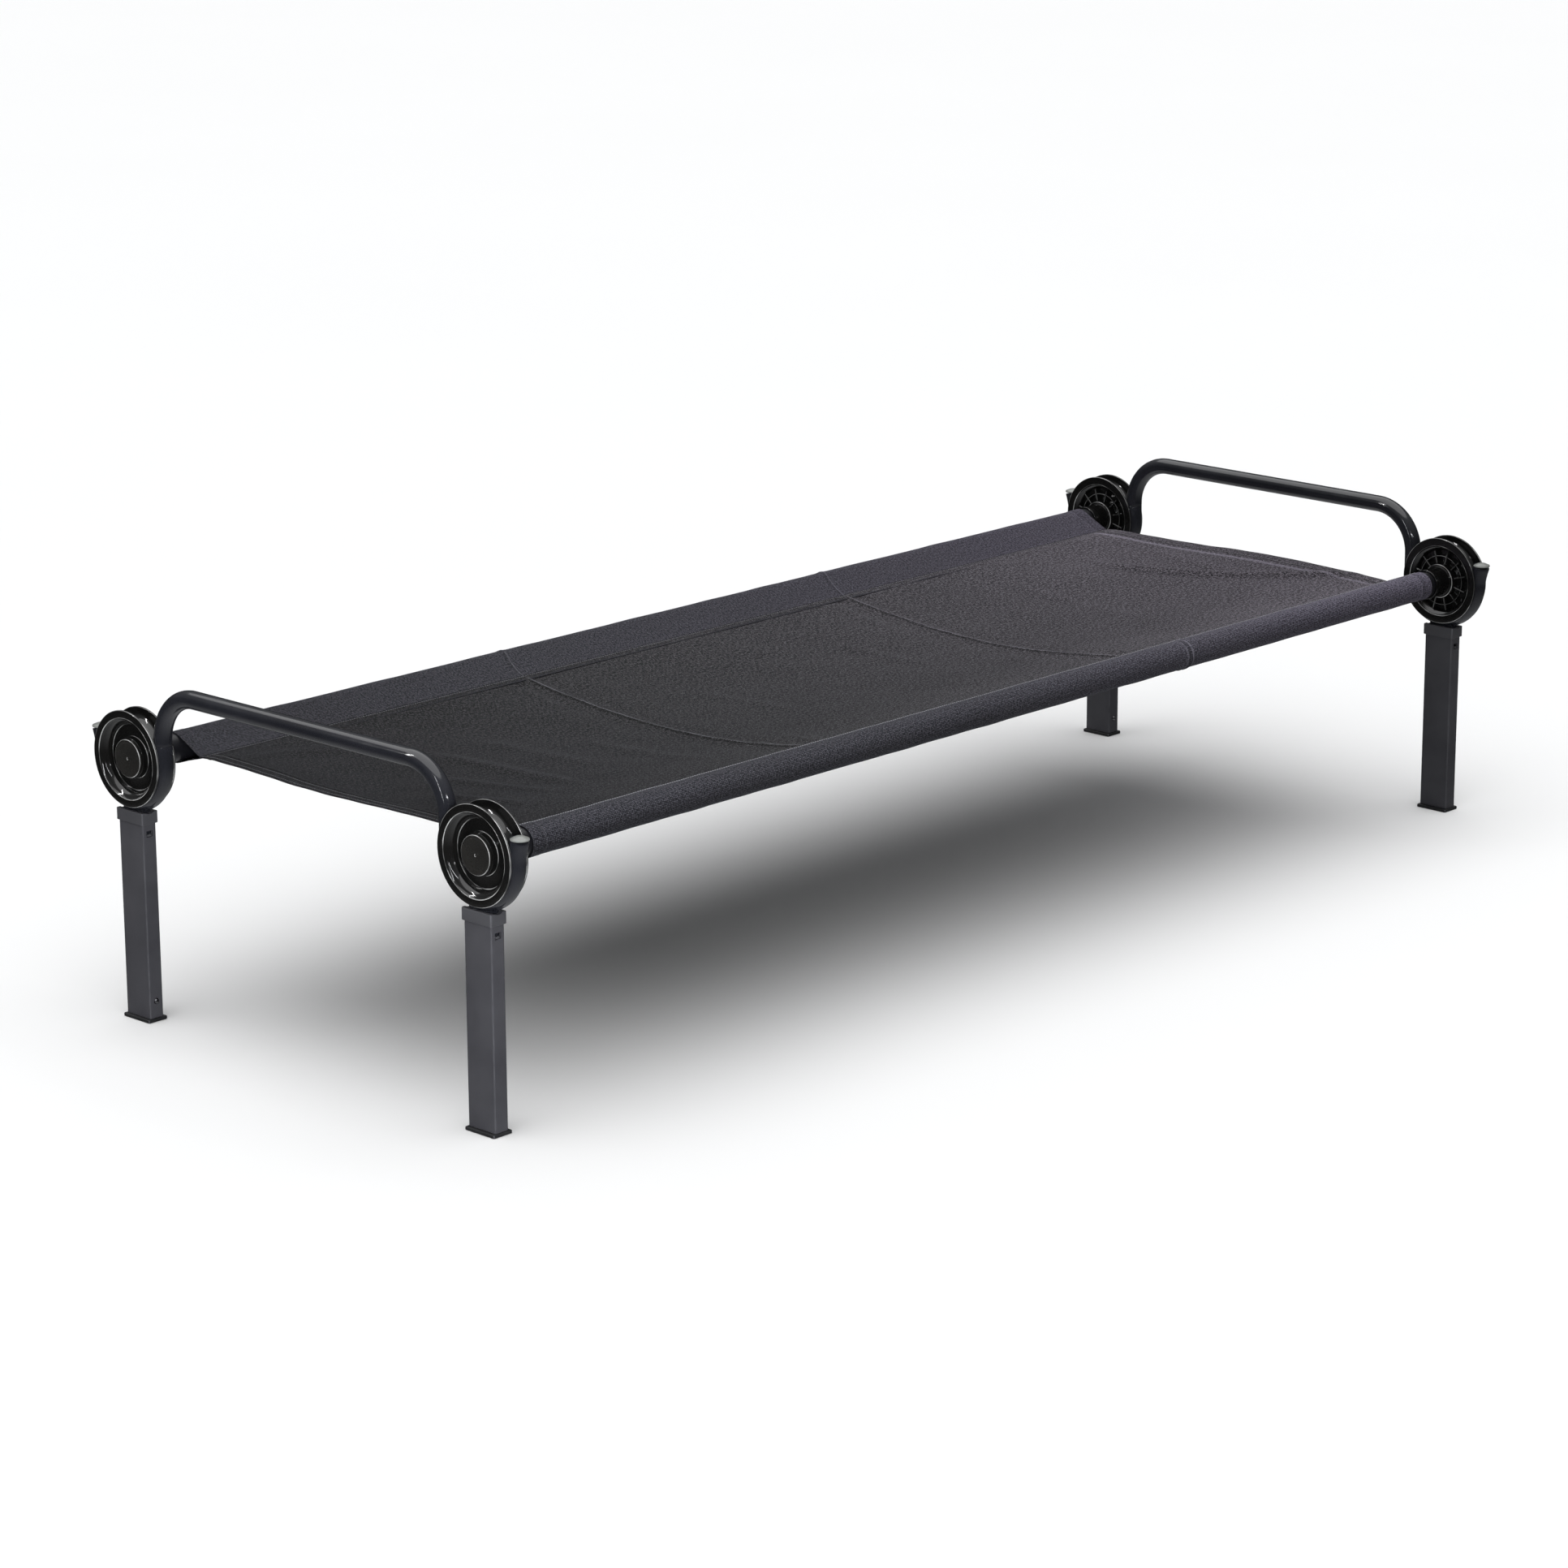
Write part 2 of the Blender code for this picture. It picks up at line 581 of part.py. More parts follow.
def place_corners():
    patterns = {
        "cradle": cradle(), "cap": cradle_cap(), "stub": stub(), "leg": leg(), "collar": collar(),
        "foot": foot(), "button": button(), "spring": hairpin(), "disc": disc(), "hub": hub_cap(),
    }
    for corner, (end, side) in CORNERS.items():
        x, y = end * FRAME_X, side * AXIS_Y
        turn = side_turn(side)
        inward = -side
        place(f"{corner}_cradle", patterns["cradle"], COATED_STEEL, (x, y, AXIS_Z), turn)
        cap_at = (x, y + side * CRADLE_R, AXIS_Z + OUTER_ARM)
        place(f"{corner}_cradle_cap", patterns["cap"], CAP_PLASTIC, cap_at)
        place(f"{corner}_stub", patterns["stub"], COATED_STEEL, (x, y, AXIS_Z), turn)
        place(f"{corner}_leg", patterns["leg"], LEG_COATING, (x, y, 0.0), turn)
        place(f"{corner}_leg_collar", patterns["collar"], COLLAR_PLASTIC, (x, y, 0.0), turn)
        place(f"{corner}_foot", patterns["foot"], FOOT_PLASTIC, (x, y, 0.0), turn)
        button_at = (x, y + inward * LEG_SIZE_Y / 2, BUTTON_Z)
        aim = (-inward * math.pi / 2, 0.0, 0.0)
        place(f"{corner}_foot_button", patterns["button"], PLATED_STEEL, button_at, aim)
        upright = (math.pi / 2, 0.0, inward * math.pi / 2)
        place(f"{corner}_foot_spring", patterns["spring"], PLATED_STEEL, (x, y, 0.0), upright)
        outward = (0.0, end * math.pi / 2, 0.0)
        place(f"{corner}_disc", patterns["disc"], DISC_PLASTIC, (x, y, AXIS_Z), outward)
        place(f"{corner}_hub_cap", patterns["hub"], HUB_PLASTIC, (x, y, AXIS_Z), outward)
    discard(*patterns.values())


def place_hoops():
    pattern = hoop()
    for name, end in (("left_hoop", -1), ("right_hoop", 1)):
        place(name, pattern, COATED_STEEL, (end * FRAME_X, 0.0, AXIS_Z))
    discard(pattern)


def place_rails():
    end_pattern, middle_pattern = rail_end(), rail_middle()
    for row, side in (("front", -1), ("back", 1)):
        at = (0.0, side * AXIS_Y, AXIS_Z)
        place(f"{row}_rail_left", end_pattern, RAIL_COATING, at, (0.0, -math.pi / 2, 0.0))
        place(f"{row}_rail_middle", middle_pattern, RAIL_COATING, at, (0.0, math.pi / 2, 0.0))
        place(f"{row}_rail_right", end_pattern, RAIL_COATING, at, (0.0, math.pi / 2, 0.0))
    discard(end_pattern, middle_pattern)


def place_fabric():
    pattern = sleeve()
    front_turn = (math.pi / 2, 0.0, math.pi / 2)
    back_turn = (math.pi / 2, 0.0, -math.pi / 2)
    place("front_sleeve", pattern, DECK_FABRIC, (0.0, -AXIS_Y, AXIS_Z), front_turn)
    place("back_sleeve", pattern, DECK_FABRIC, (0.0, AXIS_Y, AXIS_Z), back_turn)
    sheet = panel()
    place("deck_panel", sheet, DECK_FABRIC, (0.0, 0.0, 0.0))
    discard(pattern, sheet)


place_hoops()
place_corners()
place_rails()
place_fabric()
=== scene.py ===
"""Looks of the raised dog bed: fabric sling, coated tubes, moulded discs, studio and camera.

Axes as in the CAD: +X along the bed, +Y from the front rail to the back rail, floor at z = 0.
"""

import math

import bmesh
import bpy
import numpy as np
from mathutils import Matrix, Vector


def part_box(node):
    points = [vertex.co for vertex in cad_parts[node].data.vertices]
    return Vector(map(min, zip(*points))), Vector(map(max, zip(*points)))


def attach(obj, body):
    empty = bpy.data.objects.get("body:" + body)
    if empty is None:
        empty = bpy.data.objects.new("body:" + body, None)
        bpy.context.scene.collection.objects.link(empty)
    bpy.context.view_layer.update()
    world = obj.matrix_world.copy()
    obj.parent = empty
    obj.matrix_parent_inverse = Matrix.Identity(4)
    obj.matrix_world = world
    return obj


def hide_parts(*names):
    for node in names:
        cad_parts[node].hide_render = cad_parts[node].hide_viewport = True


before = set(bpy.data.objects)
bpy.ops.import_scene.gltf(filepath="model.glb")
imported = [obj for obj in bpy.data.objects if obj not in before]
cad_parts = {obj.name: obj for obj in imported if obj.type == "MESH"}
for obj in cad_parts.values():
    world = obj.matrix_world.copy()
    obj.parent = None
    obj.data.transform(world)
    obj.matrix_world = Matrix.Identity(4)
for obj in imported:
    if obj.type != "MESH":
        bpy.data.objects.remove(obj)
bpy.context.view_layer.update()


def middle(node):
    low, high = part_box(node)
    return (low + high) / 2


# Places, from the CAD
RAIL_AT = middle("back_rail_middle")
AXIS_Y = RAIL_AT.y
AXIS_Z = RAIL_AT.z
FRAME_X = middle("right_hoop").x
LEG_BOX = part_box("right_back_leg")
COLLAR_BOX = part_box("right_back_leg_collar")
PLATE_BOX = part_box("right_back_foot")
BUTTON_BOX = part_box("right_back_foot_button")
LEG_SIZE = LEG_BOX[1] - LEG_BOX[0]
COLLAR_SIZE = COLLAR_BOX[1] - COLLAR_BOX[0]
PLATE_SIZE = PLATE_BOX[1] - PLATE_BOX[0]
GAP = 0.0003

# Camera
CAMERA_AT = (-4.9164, -4.5385, 2.0460)
CAMERA_YAW = 0.81397        # from +Y towards +X
CAMERA_PITCH = 0.27137      # below the horizon
CAMERA_ROLL = -0.00448
CAMERA_LENS = 109.53
SENSOR = 36.0

# End frames
TUBE_R = 0.0125
CRADLE_R = 0.0612
INNER_ARM = 0.0275
OUTER_ARM = 0.0305
ARM_FLARE = 0.0070          # outward, at the open end
HOOP_RISE = 0.1010
HOOP_BEND_R = 0.0685
CAP_DOME = 0.0060
CAP_SPHERE_R = 0.0190
CAP_EDGE = 0.0012
CAP_EDGE_Z = 0.0016
TUBE_EDGE = 0.0006
BAR_END = ((0.0, 1.0), (0.29, 0.29), (1.0, 0.0))  # shares of the edge: ahead, and off the radius
TUBE_SIDES = 48

# Discs and hubs, as (along, radius) with along growing outboard
DISC_R = 0.0668
DISC_FACE = 0.0158
GROOVE_R = 0.0131
BOWL_ARC_R = 0.0152
RING_INNER_R = 0.0560
RECESS_RING_R = 0.0545
WEB_INBOARD = 0.0027
WEB_OUTBOARD = 0.0002
BOSS_R = 0.0285
BOSS_BORE_R = 0.0060
BOSS_TOP = 0.0090
SOCKET_R = 0.0265
SOCKET_COLLAR = 0.0170      # depth of the thick part round the web
SOCKET_TUBE_R = 0.0228
SOCKET_END = 0.0510
SOCKET_BORE_R = 0.0203
SOCKET_BOTTOM = 0.0060
HUB_R = 0.0265
HUB_TOP = 0.0128
HUB_SINK = 0.0002           # of the face inside its rim
GATE_DEPTH = 0.0010
GATE_R = (0.0011, 0.0022)   # at the bottom, and at the top
RIB_COUNT = 12
RIB_THICKNESS = 0.0020
RIB_DEPTH = 0.0122
RIB_INNER = 0.0250
RIB_OUTER = 0.0470
RIB_ROOT = 0.0015           # of ribs and inner ring, inside the web
INNER_RING_R = 0.0370
INNER_RING_T = 0.0016
INNER_RING_DEPTH = 0.0098
DISC_SIDES = 128

# Rails
RAIL_R = 0.0200
RAIL_BORE_R = 0.0184
RAIL_MOUTH = 0.0006
RAIL_JOINT_X = 0.3710
RAIL_SIDES = 64

# Fabric sling
FABRIC_NEAR_X = -0.953
FABRIC_FAR_X = 0.957
CLOTH_T = 0.0008
SLEEVE_R = 0.0208           # middle of the cloth round the rail
SEAM_IN = 0.0560            # seam line, from the rail axis towards the middle
SEAM_DROP = 0.0050
SEAM_Y = AXIS_Y - SEAM_IN
FLAP_DROP = 0.0010          # lower layer, below the upper one at the seam
FLAP_HANG = 0.0006          # more of it at the flap's edge
FLAP_IN = 0.0130            # seam allowance past the seam line
SAG = 0.0260
SAG_POWER = 3.2             # how square the sag is along the bed
SEAM_FADE = 0.10            # share of the half width where folds flatten out
DECK_WAVES = ((0.0009, 11, 0.045, 9), (0.00028, 12, 0.014, 11))  # height, seed, size, count
HEM = 0.0240                # folded band at each end of the deck
HEM_XS = (FABRIC_NEAR_X + HEM, FABRIC_FAR_X - HEM)
HEM_STEP = 0.0009           # of the second layer
HEM_PUCKER = 0.0016         # of the cloth beside the band
SLEEVE_HEM_STEP = 0.0007

CORNERS = {
    "left_front": (-1, -1),
    "left_back": (-1, 1),
    "right_front": (1, -1),
    "right_back": (1, 1),
}


# --- meshes

def shown(name, data):
    """A new object in the scene."""
    made = bpy.data.objects.new(name, data)
    bpy.context.scene.collection.objects.link(made)
    return made


def finished(mesh, material, smooth_angle=38.0):
    mesh.shade_smooth()
    mesh.set_sharp_from_angle(angle=math.radians(smooth_angle))
    mesh.materials.clear()
    mesh.materials.append(material)
    return mesh


def new_piece(name, verts, faces, material, smooth_angle=38.0):
    mesh = bpy.data.meshes.new(name)
    mesh.from_pydata([tuple(v) for v in verts], [], faces)
    mesh.validate()
    bm = bmesh.new()
    bm.from_mesh(mesh)
    bmesh.ops.recalc_face_normals(bm, faces=bm.faces)
    bm.to_mesh(mesh)
    bm.free()
    return shown(name, finished(mesh, material, smooth_angle))


def skin(rings, start=None, end=None, loop=False):
    """Faces through rings of equal length; start and end are points that close it."""
    count = len(rings[0])
    verts = [tuple(p) for ring in rings for p in ring]
    pairs = [(i, i + 1) for i in range(len(rings) - 1)]
    if loop:
        pairs.append((len(rings) - 1, 0))
    faces = []
    for a, b in pairs:
        for i in range(count):
            j = (i + 1) % count
            faces.append((a * count + i, a * count + j, b * count + j, b * count + i))
    last = (len(rings) - 1) * count
    if start is not None:
        verts.append(tuple(start))
        faces += [(len(verts) - 1, (i + 1) % count, i) for i in range(count)]
    if end is not None:
        verts.append(tuple(end))
        faces += [(len(verts) - 1, last + i, last + (i + 1) % count) for i in range(count)]
    return verts, faces


def joined(*parts):
    """Several (verts, faces) as one."""
    verts, faces = [], []
    for more_verts, more_faces in parts:
        base = len(verts)
        verts += list(more_verts)
        faces += [tuple(base + i for i in face) for face in more_faces]
    return verts, faces


def rounded(points, radii, count=4, closed=True):
    """The outline with its corners turned into arcs."""
    out = []
    size = len(points)
    for i, radius in enumerate(radii):
        here = np.array(points[i], float)
        if radius <= 0 or (not closed and i in (0, size - 1)):
            out.append(tuple(here))
            continue
        back = np.array(points[i - 1], float) - here
        on = np.array(points[(i + 1) % size], float) - here
        back /= np.linalg.norm(back)
        on /= np.linalg.norm(on)
        half = math.acos(float(np.clip(back @ on, -1, 1))) / 2
        across = back + on
        centre = here + across / np.linalg.norm(across) * radius / math.sin(half)
        first = here + back * radius / math.tan(half) - centre
        last = here + on * radius / math.tan(half) - centre
        turn = math.pi - 2 * half
        for k in range(count + 1):
            t = k / count
            spin = math.sin((1 - t) * turn) * first + math.sin(t * turn) * last
            out.append(tuple(centre + spin / math.sin(turn)))
    return out


def arc(centre, radius, start, end, count):
    """Points on an arc, angles in degrees, both ends included."""
    angles = np.radians(np.linspace(start, end, count + 1))
    return [(centre[0] + radius * math.cos(a), centre[1] + radius * math.sin(a)) for a in angles]


def ring_angles(sides):
    return np.linspace(0, 2 * math.pi, sides, endpoint=False)


def turned(outline, sides, closed=True):
    """(radius, along) outline turned about local X; open outlines end on the axis."""
    angles = ring_angles(sides)
    inner = outline if closed else outline[1:-1]
    rings = []
    for radius, along in inner:
        ring = [(along, radius * math.cos(a), radius * math.sin(a)) for a in angles]
        rings.append(ring)
    if closed:
        return skin(rings, loop=True)
    return skin(rings, start=(outline[0][1], 0, 0), end=(outline[-1][1], 0, 0))


def bar(path, radius, sides):
    """Round bar along a path in the YZ plane, with softened ends."""
    path = [np.array(p, float) for p in path]
    count = len(path)
    stations = []
    for i, place in enumerate(path):
        run = path[min(i + 1, count - 1)] - path[max(i - 1, 0)]
        along = run / np.linalg.norm(run)
        steps = ((0.0, 0.0),)
        if i == 0:
            steps = BAR_END
        elif i == count - 1:
            steps = [(-ahead, inset) for ahead, inset in reversed(BAR_END)]
        for ahead, inset in steps:
            stations.append((place + along * TUBE_EDGE * ahead, along, radius - TUBE_EDGE * inset))
    angles = ring_angles(sides)
    rings = []
    for place, along, size in stations:
        across = np.outer(size * np.cos(angles), (-along[1], along[0]))
        rings.append(np.column_stack([size * np.sin(angles), place + across]))
    return skin(rings, start=(0, *path[0]), end=(0, *path[-1]))


def rounded_rectangle(half_x, half_y, radius, count=6):
    """Points round a rectangle with rounded corners."""
    points = []
    for quarter, (sx, sy) in enumerate(((1, 1), (-1, 1), (-1, -1), (1, -1))):
        centre = (sx * (half_x - radius), sy * (half_y - radius))
        points += arc(centre, radius, 90 * quarter, 90 * (quarter + 1), count)
    return points


def slab(levels, start_closed=True, end_closed=True, count=6):
    """Rounded rectangles stacked along Z; a level is (z, half_x, half_y, corner radius)."""
    rings = []
    for z, half_x, half_y, radius in levels:
        rings.append([(x, y, z) for x, y in rounded_rectangle(half_x, half_y, radius, count)])
    start = (0, 0, levels[0][0]) if start_closed else None
    end = (0, 0, levels[-1][0]) if end_closed else None
    return skin(rings, start, end, loop=not (start_closed or end_closed))


def cut(piece, others, operation="DIFFERENCE"):
    """Cuts or joins others with the piece, and keeps the result as its mesh."""
    for other in others:
        modifier = piece.modifiers.new(other.name, "BOOLEAN")
        modifier.object = other
        modifier.operation = operation
        modifier.solver = "EXACT"
    graph = bpy.context.evaluated_depsgraph_get()
    mesh = bpy.data.meshes.new_from_object(piece.evaluated_get(graph))
    material = piece.data.materials[0]
    piece.modifiers.clear()
    piece.data = finished(mesh, material)
    discard(*others)
    return piece


def discard(*pieces):
    for piece in pieces:
        bpy.data.objects.remove(piece, do_unlink=True)


def finish_piece(piece, body, slot, *nodes):
    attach(piece, body)
    if nodes:
        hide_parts(*nodes)


def put(pattern, name, at, turn, body, slot, node):
    """A finished piece that shares the pattern's mesh."""
    piece = shown(name, pattern.data)
    piece.location = at
    piece.rotation_euler = (0.0, 0.0, turn)
    finish_piece(piece, body, slot, node)


# --- materials

def add_node(tree, kind, inputs=(), **settings):
    """A node whose inputs are other nodes' sockets, or constants."""
    made = tree.nodes.new(kind)
    for key, value in settings.items():
        setattr(made, key, value)
    for key, value in dict(inputs).items():
        if hasattr(value, "links"):
            tree.links.new(value, made.inputs[key])
        else:
            made.inputs[key].default_value = value
    return made


class Surface:
    """A Principled material and short ways to wire its nodes."""

    def __init__(self, name, **constants):
        self.material = bpy.data.materials.new(name)
        self.material.use_nodes = True
        self.tree = self.material.node_tree
        self.shader = self.tree.nodes["Principled BSDF"]
        for socket, value in constants.items():
            self.shader.inputs[socket.replace("_", " ")].default_value = value

    def node(self, kind, inputs=(), **settings):
        return add_node(self.tree, kind, inputs, **settings)

    def place(self):
        return self.node("ShaderNodeTexCoord").outputs["Object"]

    def split(self, vector):
        return self.node("ShaderNodeSeparateXYZ", {0: vector}).outputs

    def noise(self, where, scale, detail=3.0, roughness=0.5, stretch=None):
        if stretch:
            where = self.node("ShaderNodeMapping", {"Vector": where, "Scale": stretch}).outputs[0]
        inputs = {"Vector": where, "Scale": scale, "Detail": detail, "Roughness": roughness}
        return self.node("ShaderNodeTexNoise", inputs).outputs["Fac"]

    def ramp(self, factor, low, high, low_to, high_to):
        limits = {"From Min": low, "From Max": high, "To Min": low_to, "To Max": high_to}
        return self.node("ShaderNodeMapRange", {"Value": factor, **limits}).outputs["Result"]

    def blend(self, factor, first, second, kind="MIX"):
        """Mix of two colours, either of them a socket or three numbers."""
        first, second = (c if hasattr(c, "links") else (*c, 1.0) for c in (first, second))
        inputs = {"Factor": factor, 6: first, 7: second}
        return self.node("ShaderNodeMix", inputs, data_type="RGBA", blend_type=kind).outputs[2]

    def math(self, operation, *values):
        return self.node("ShaderNodeMath", enumerate(values), operation=operation).outputs[0]

    def product(self, *factors):
        total = factors[0]
        for factor in factors[1:]:
            total = self.math("MULTIPLY", total, factor)
        return total

    def scaled(self, colour, factor):
        inputs = {0: colour, "Scale": factor}
        return self.node("ShaderNodeVectorMath", inputs, operation="SCALE").outputs[0]

    def colour(self, socket):
        self.tree.links.new(socket, self.shader.inputs["Base Color"])

    def roughness(self, socket):
        self.tree.links.new(socket, self.shader.inputs["Roughness"])

    def bump(self, height, distance, strength=1.0):
        """Adds to the bumps already there."""
        inputs = {"Strength": strength, "Distance": distance, "Height": height}
        normal = self.shader.inputs["Normal"]
        if normal.is_linked:
            inputs["Normal"] = normal.links[0].from_socket
        self.tree.links.new(self.node("ShaderNodeBump", inputs).outputs["Normal"], normal)


# Painted highlights: on the rims and rib crests of turned parts, and on the upright corners of
# box-section parts
EDGE_REACH = 0.0010
RIB_HIGHLIGHT = 0.22
RIM_HIGHLIGHT_TONE = (0.30, 0.30, 0.295)
PLASTIC_CORNER_HIGHLIGHT = (0.11, 0.11, 0.12)
STEEL_CORNER_HIGHLIGHT = (0.060, 0.060, 0.066)


def near_ring(s, radius, along, spots):
    """1 on the rings (radius, along) about local X, fading to 0 within EDGE_REACH."""
    total = None
    for ring_r, ring_a in spots:
        across = s.math("ABSOLUTE", s.math("SUBTRACT", radius, ring_r))
        beside = s.math("ABSOLUTE", s.math("SUBTRACT", along, ring_a))
        mask = s.ramp(s.math("ADD", across, beside), EDGE_REACH * 0.35, EDGE_REACH, 1.0, 0.0)
        total = mask if total is None else s.math("MAXIMUM", total, mask)
    return total


def painted_light(s, mask, patches, tone):
    """Mixes a painted light tone into the base colour where both are high."""
    base = s.shader.inputs["Base Color"].links[0].from_socket
    s.colour(s.blend(s.product(mask, patches), base, tone))


def ring_highlights(s, spots, crest=None):
    """Paints highlights on a turned part's rims, and on the crests of ribs between two radii."""
    at = s.place()
    x, y, z = s.split(at)
    radius = s.math("SQRT", s.math("ADD", s.product(y, y), s.product(z, z)))
    rim = near_ring(s, radius, x, spots)
    if crest:
        depth, inner, outer = crest
        level = s.ramp(s.math("ABSOLUTE", s.math("ADD", x, depth)), 0.0006, 0.0020, RIB_HIGHLIGHT, 0.0)
        inside = s.ramp(radius, inner, inner + 0.001, 0.0, 1.0)
        outside = s.ramp(radius, outer - 0.001, outer, 1.0, 0.0)
        rim = s.math("MAXIMUM", rim, s.product(level, inside, outside))
    painted_light(s, rim, s.ramp(s.noise(at, 26.0, 2.0, 0.5), 0.38, 0.60, 0.08, 1.0), RIM_HIGHLIGHT_TONE)


def corner_highlight(s, size, tone, keep):
    """Paints highlights on the upright corners of a box-section part."""
    at = s.place()
    masks = []
    for place, full in zip(s.split(at), size.xy):
        half = full / 2
        masks.append(s.ramp(s.math("ABSOLUTE", place), half - 0.0018, half - 0.0006, 0.0, 1.0))
    patches = s.ramp(s.noise(at, 70.0, 3.0, 0.6), 0.35, 0.65, keep, 1.0)
    painted_light(s, s.product(*masks), patches, tone)


def clouded(name, dark, light, rough, spread, specular, cloud, marks, marked, grain, depth):
    """Clouded colour and gloss over a fine grain, rougher along some marks.

    cloud, marks and grain are noises; marked is the ramp from marks to roughness.
    """
    s = Surface(name, Specular_IOR_Level=specular)
    at = s.place()
    cloud, marks, grain = (s.noise(at, *pattern) for pattern in (cloud, marks, grain))
    s.colour(s.blend(s.ramp(cloud, 0.3, 0.7, 0.0, 1.0), dark, light))
    gloss = s.ramp(cloud, 0.3, 0.7, rough - spread, rough + spread)
    s.roughness(s.math("ADD", gloss, s.ramp(marks, *marked)))
    s.bump(grain, depth)
    return s, marks


def coating(name, dark, light, rough, spread, grain, depth, specular, corners=None):
    """Baked paint on steel: orange peel, dust in the gloss, faint streaks from rubbing, and painted
    highlights on the corners given.
    """
    s, streak = clouded(
        name, dark, light, rough, spread, specular, (14.0, 4.0, 0.6),
        (90.0, 3.0, 0.6, (1.0, 0.12, 0.12)), (0.60, 0.75, 0.0, 0.10), (grain, 2.0, 0.45), depth,
    )
    s.bump(streak, depth / 3)
    if corners:
        corner_highlight(s, corners, STEEL_CORNER_HIGHLIGHT, 0.25)
    return s.material


def moulded(name, dark, light, rough, spread, grain, depth, specular,
            rings=None, corners=None, crest=None):
    """Injection-moulded plastic: flow marks, spark-eroded grain, handling scuffs, and painted
    highlights on the rims and corners given.
    """
    s, _ = clouded(
        name, dark, light, rough, spread, specular, (22.0, 3.0, 0.55, (1.0, 0.5, 1.0)),
        (160.0, 4.0, 0.7, (0.2, 1.0, 1.0)), (0.62, 0.78, 0.0, 0.12), (grain, 3.0, 0.6), depth,
    )
    if rings:
        ring_highlights(s, rings, crest)
    if corners:
        corner_highlight(s, corners, PLASTIC_CORNER_HIGHLIGHT, 0.3)
    return s.material


def plated(name):
    """Zinc-plated steel: lightly brushed, a little cloudy."""
    s = Surface(name, Metallic=1.0)
    at = s.place()
    cloud = s.noise(at, 220.0, 4.0, 0.6)
    s.colour(s.blend(cloud, (0.10, 0.10, 0.11), (0.22, 0.22, 0.23)))
    s.roughness(s.ramp(cloud, 0.2, 0.8, 0.20, 0.36))
    s.bump(s.noise(at, 1500.0, 2.0, 0.5, stretch=(1.0, 0.08, 1.0)), 0.00003)
    return s.material


THREAD_PITCH = 0.0022
FABRIC_DARK = (0.0050, 0.0049, 0.0050)
FABRIC_LIGHT = (0.0080, 0.0078, 0.0080)
FABRIC_FLECK = (0.150, 0.146, 0.153)
SLEEVE_DARK = (0.016, 0.016, 0.019)
SLEEVE_FLECK = (0.112, 0.110, 0.128)
LINT = (0.17, 0.17, 0.19)
# Painted highlight on crests and painted shade beside folds, carried by the crease attribute
CREASE_HIGHLIGHT = (0.21, 0.21, 0.23)
CREASE_SHADED = (0.004, 0.004, 0.004)
FAR_TINT = (1.05, 0.97, 1.09)
# Painted shade under the rail on the sleeves, growing from RAIL_SIDE to RAIL_UNDER
RAIL_SIDE = 0.080           # along the cloth, from the seam to the rail's outer side
RAIL_UNDER = 0.100


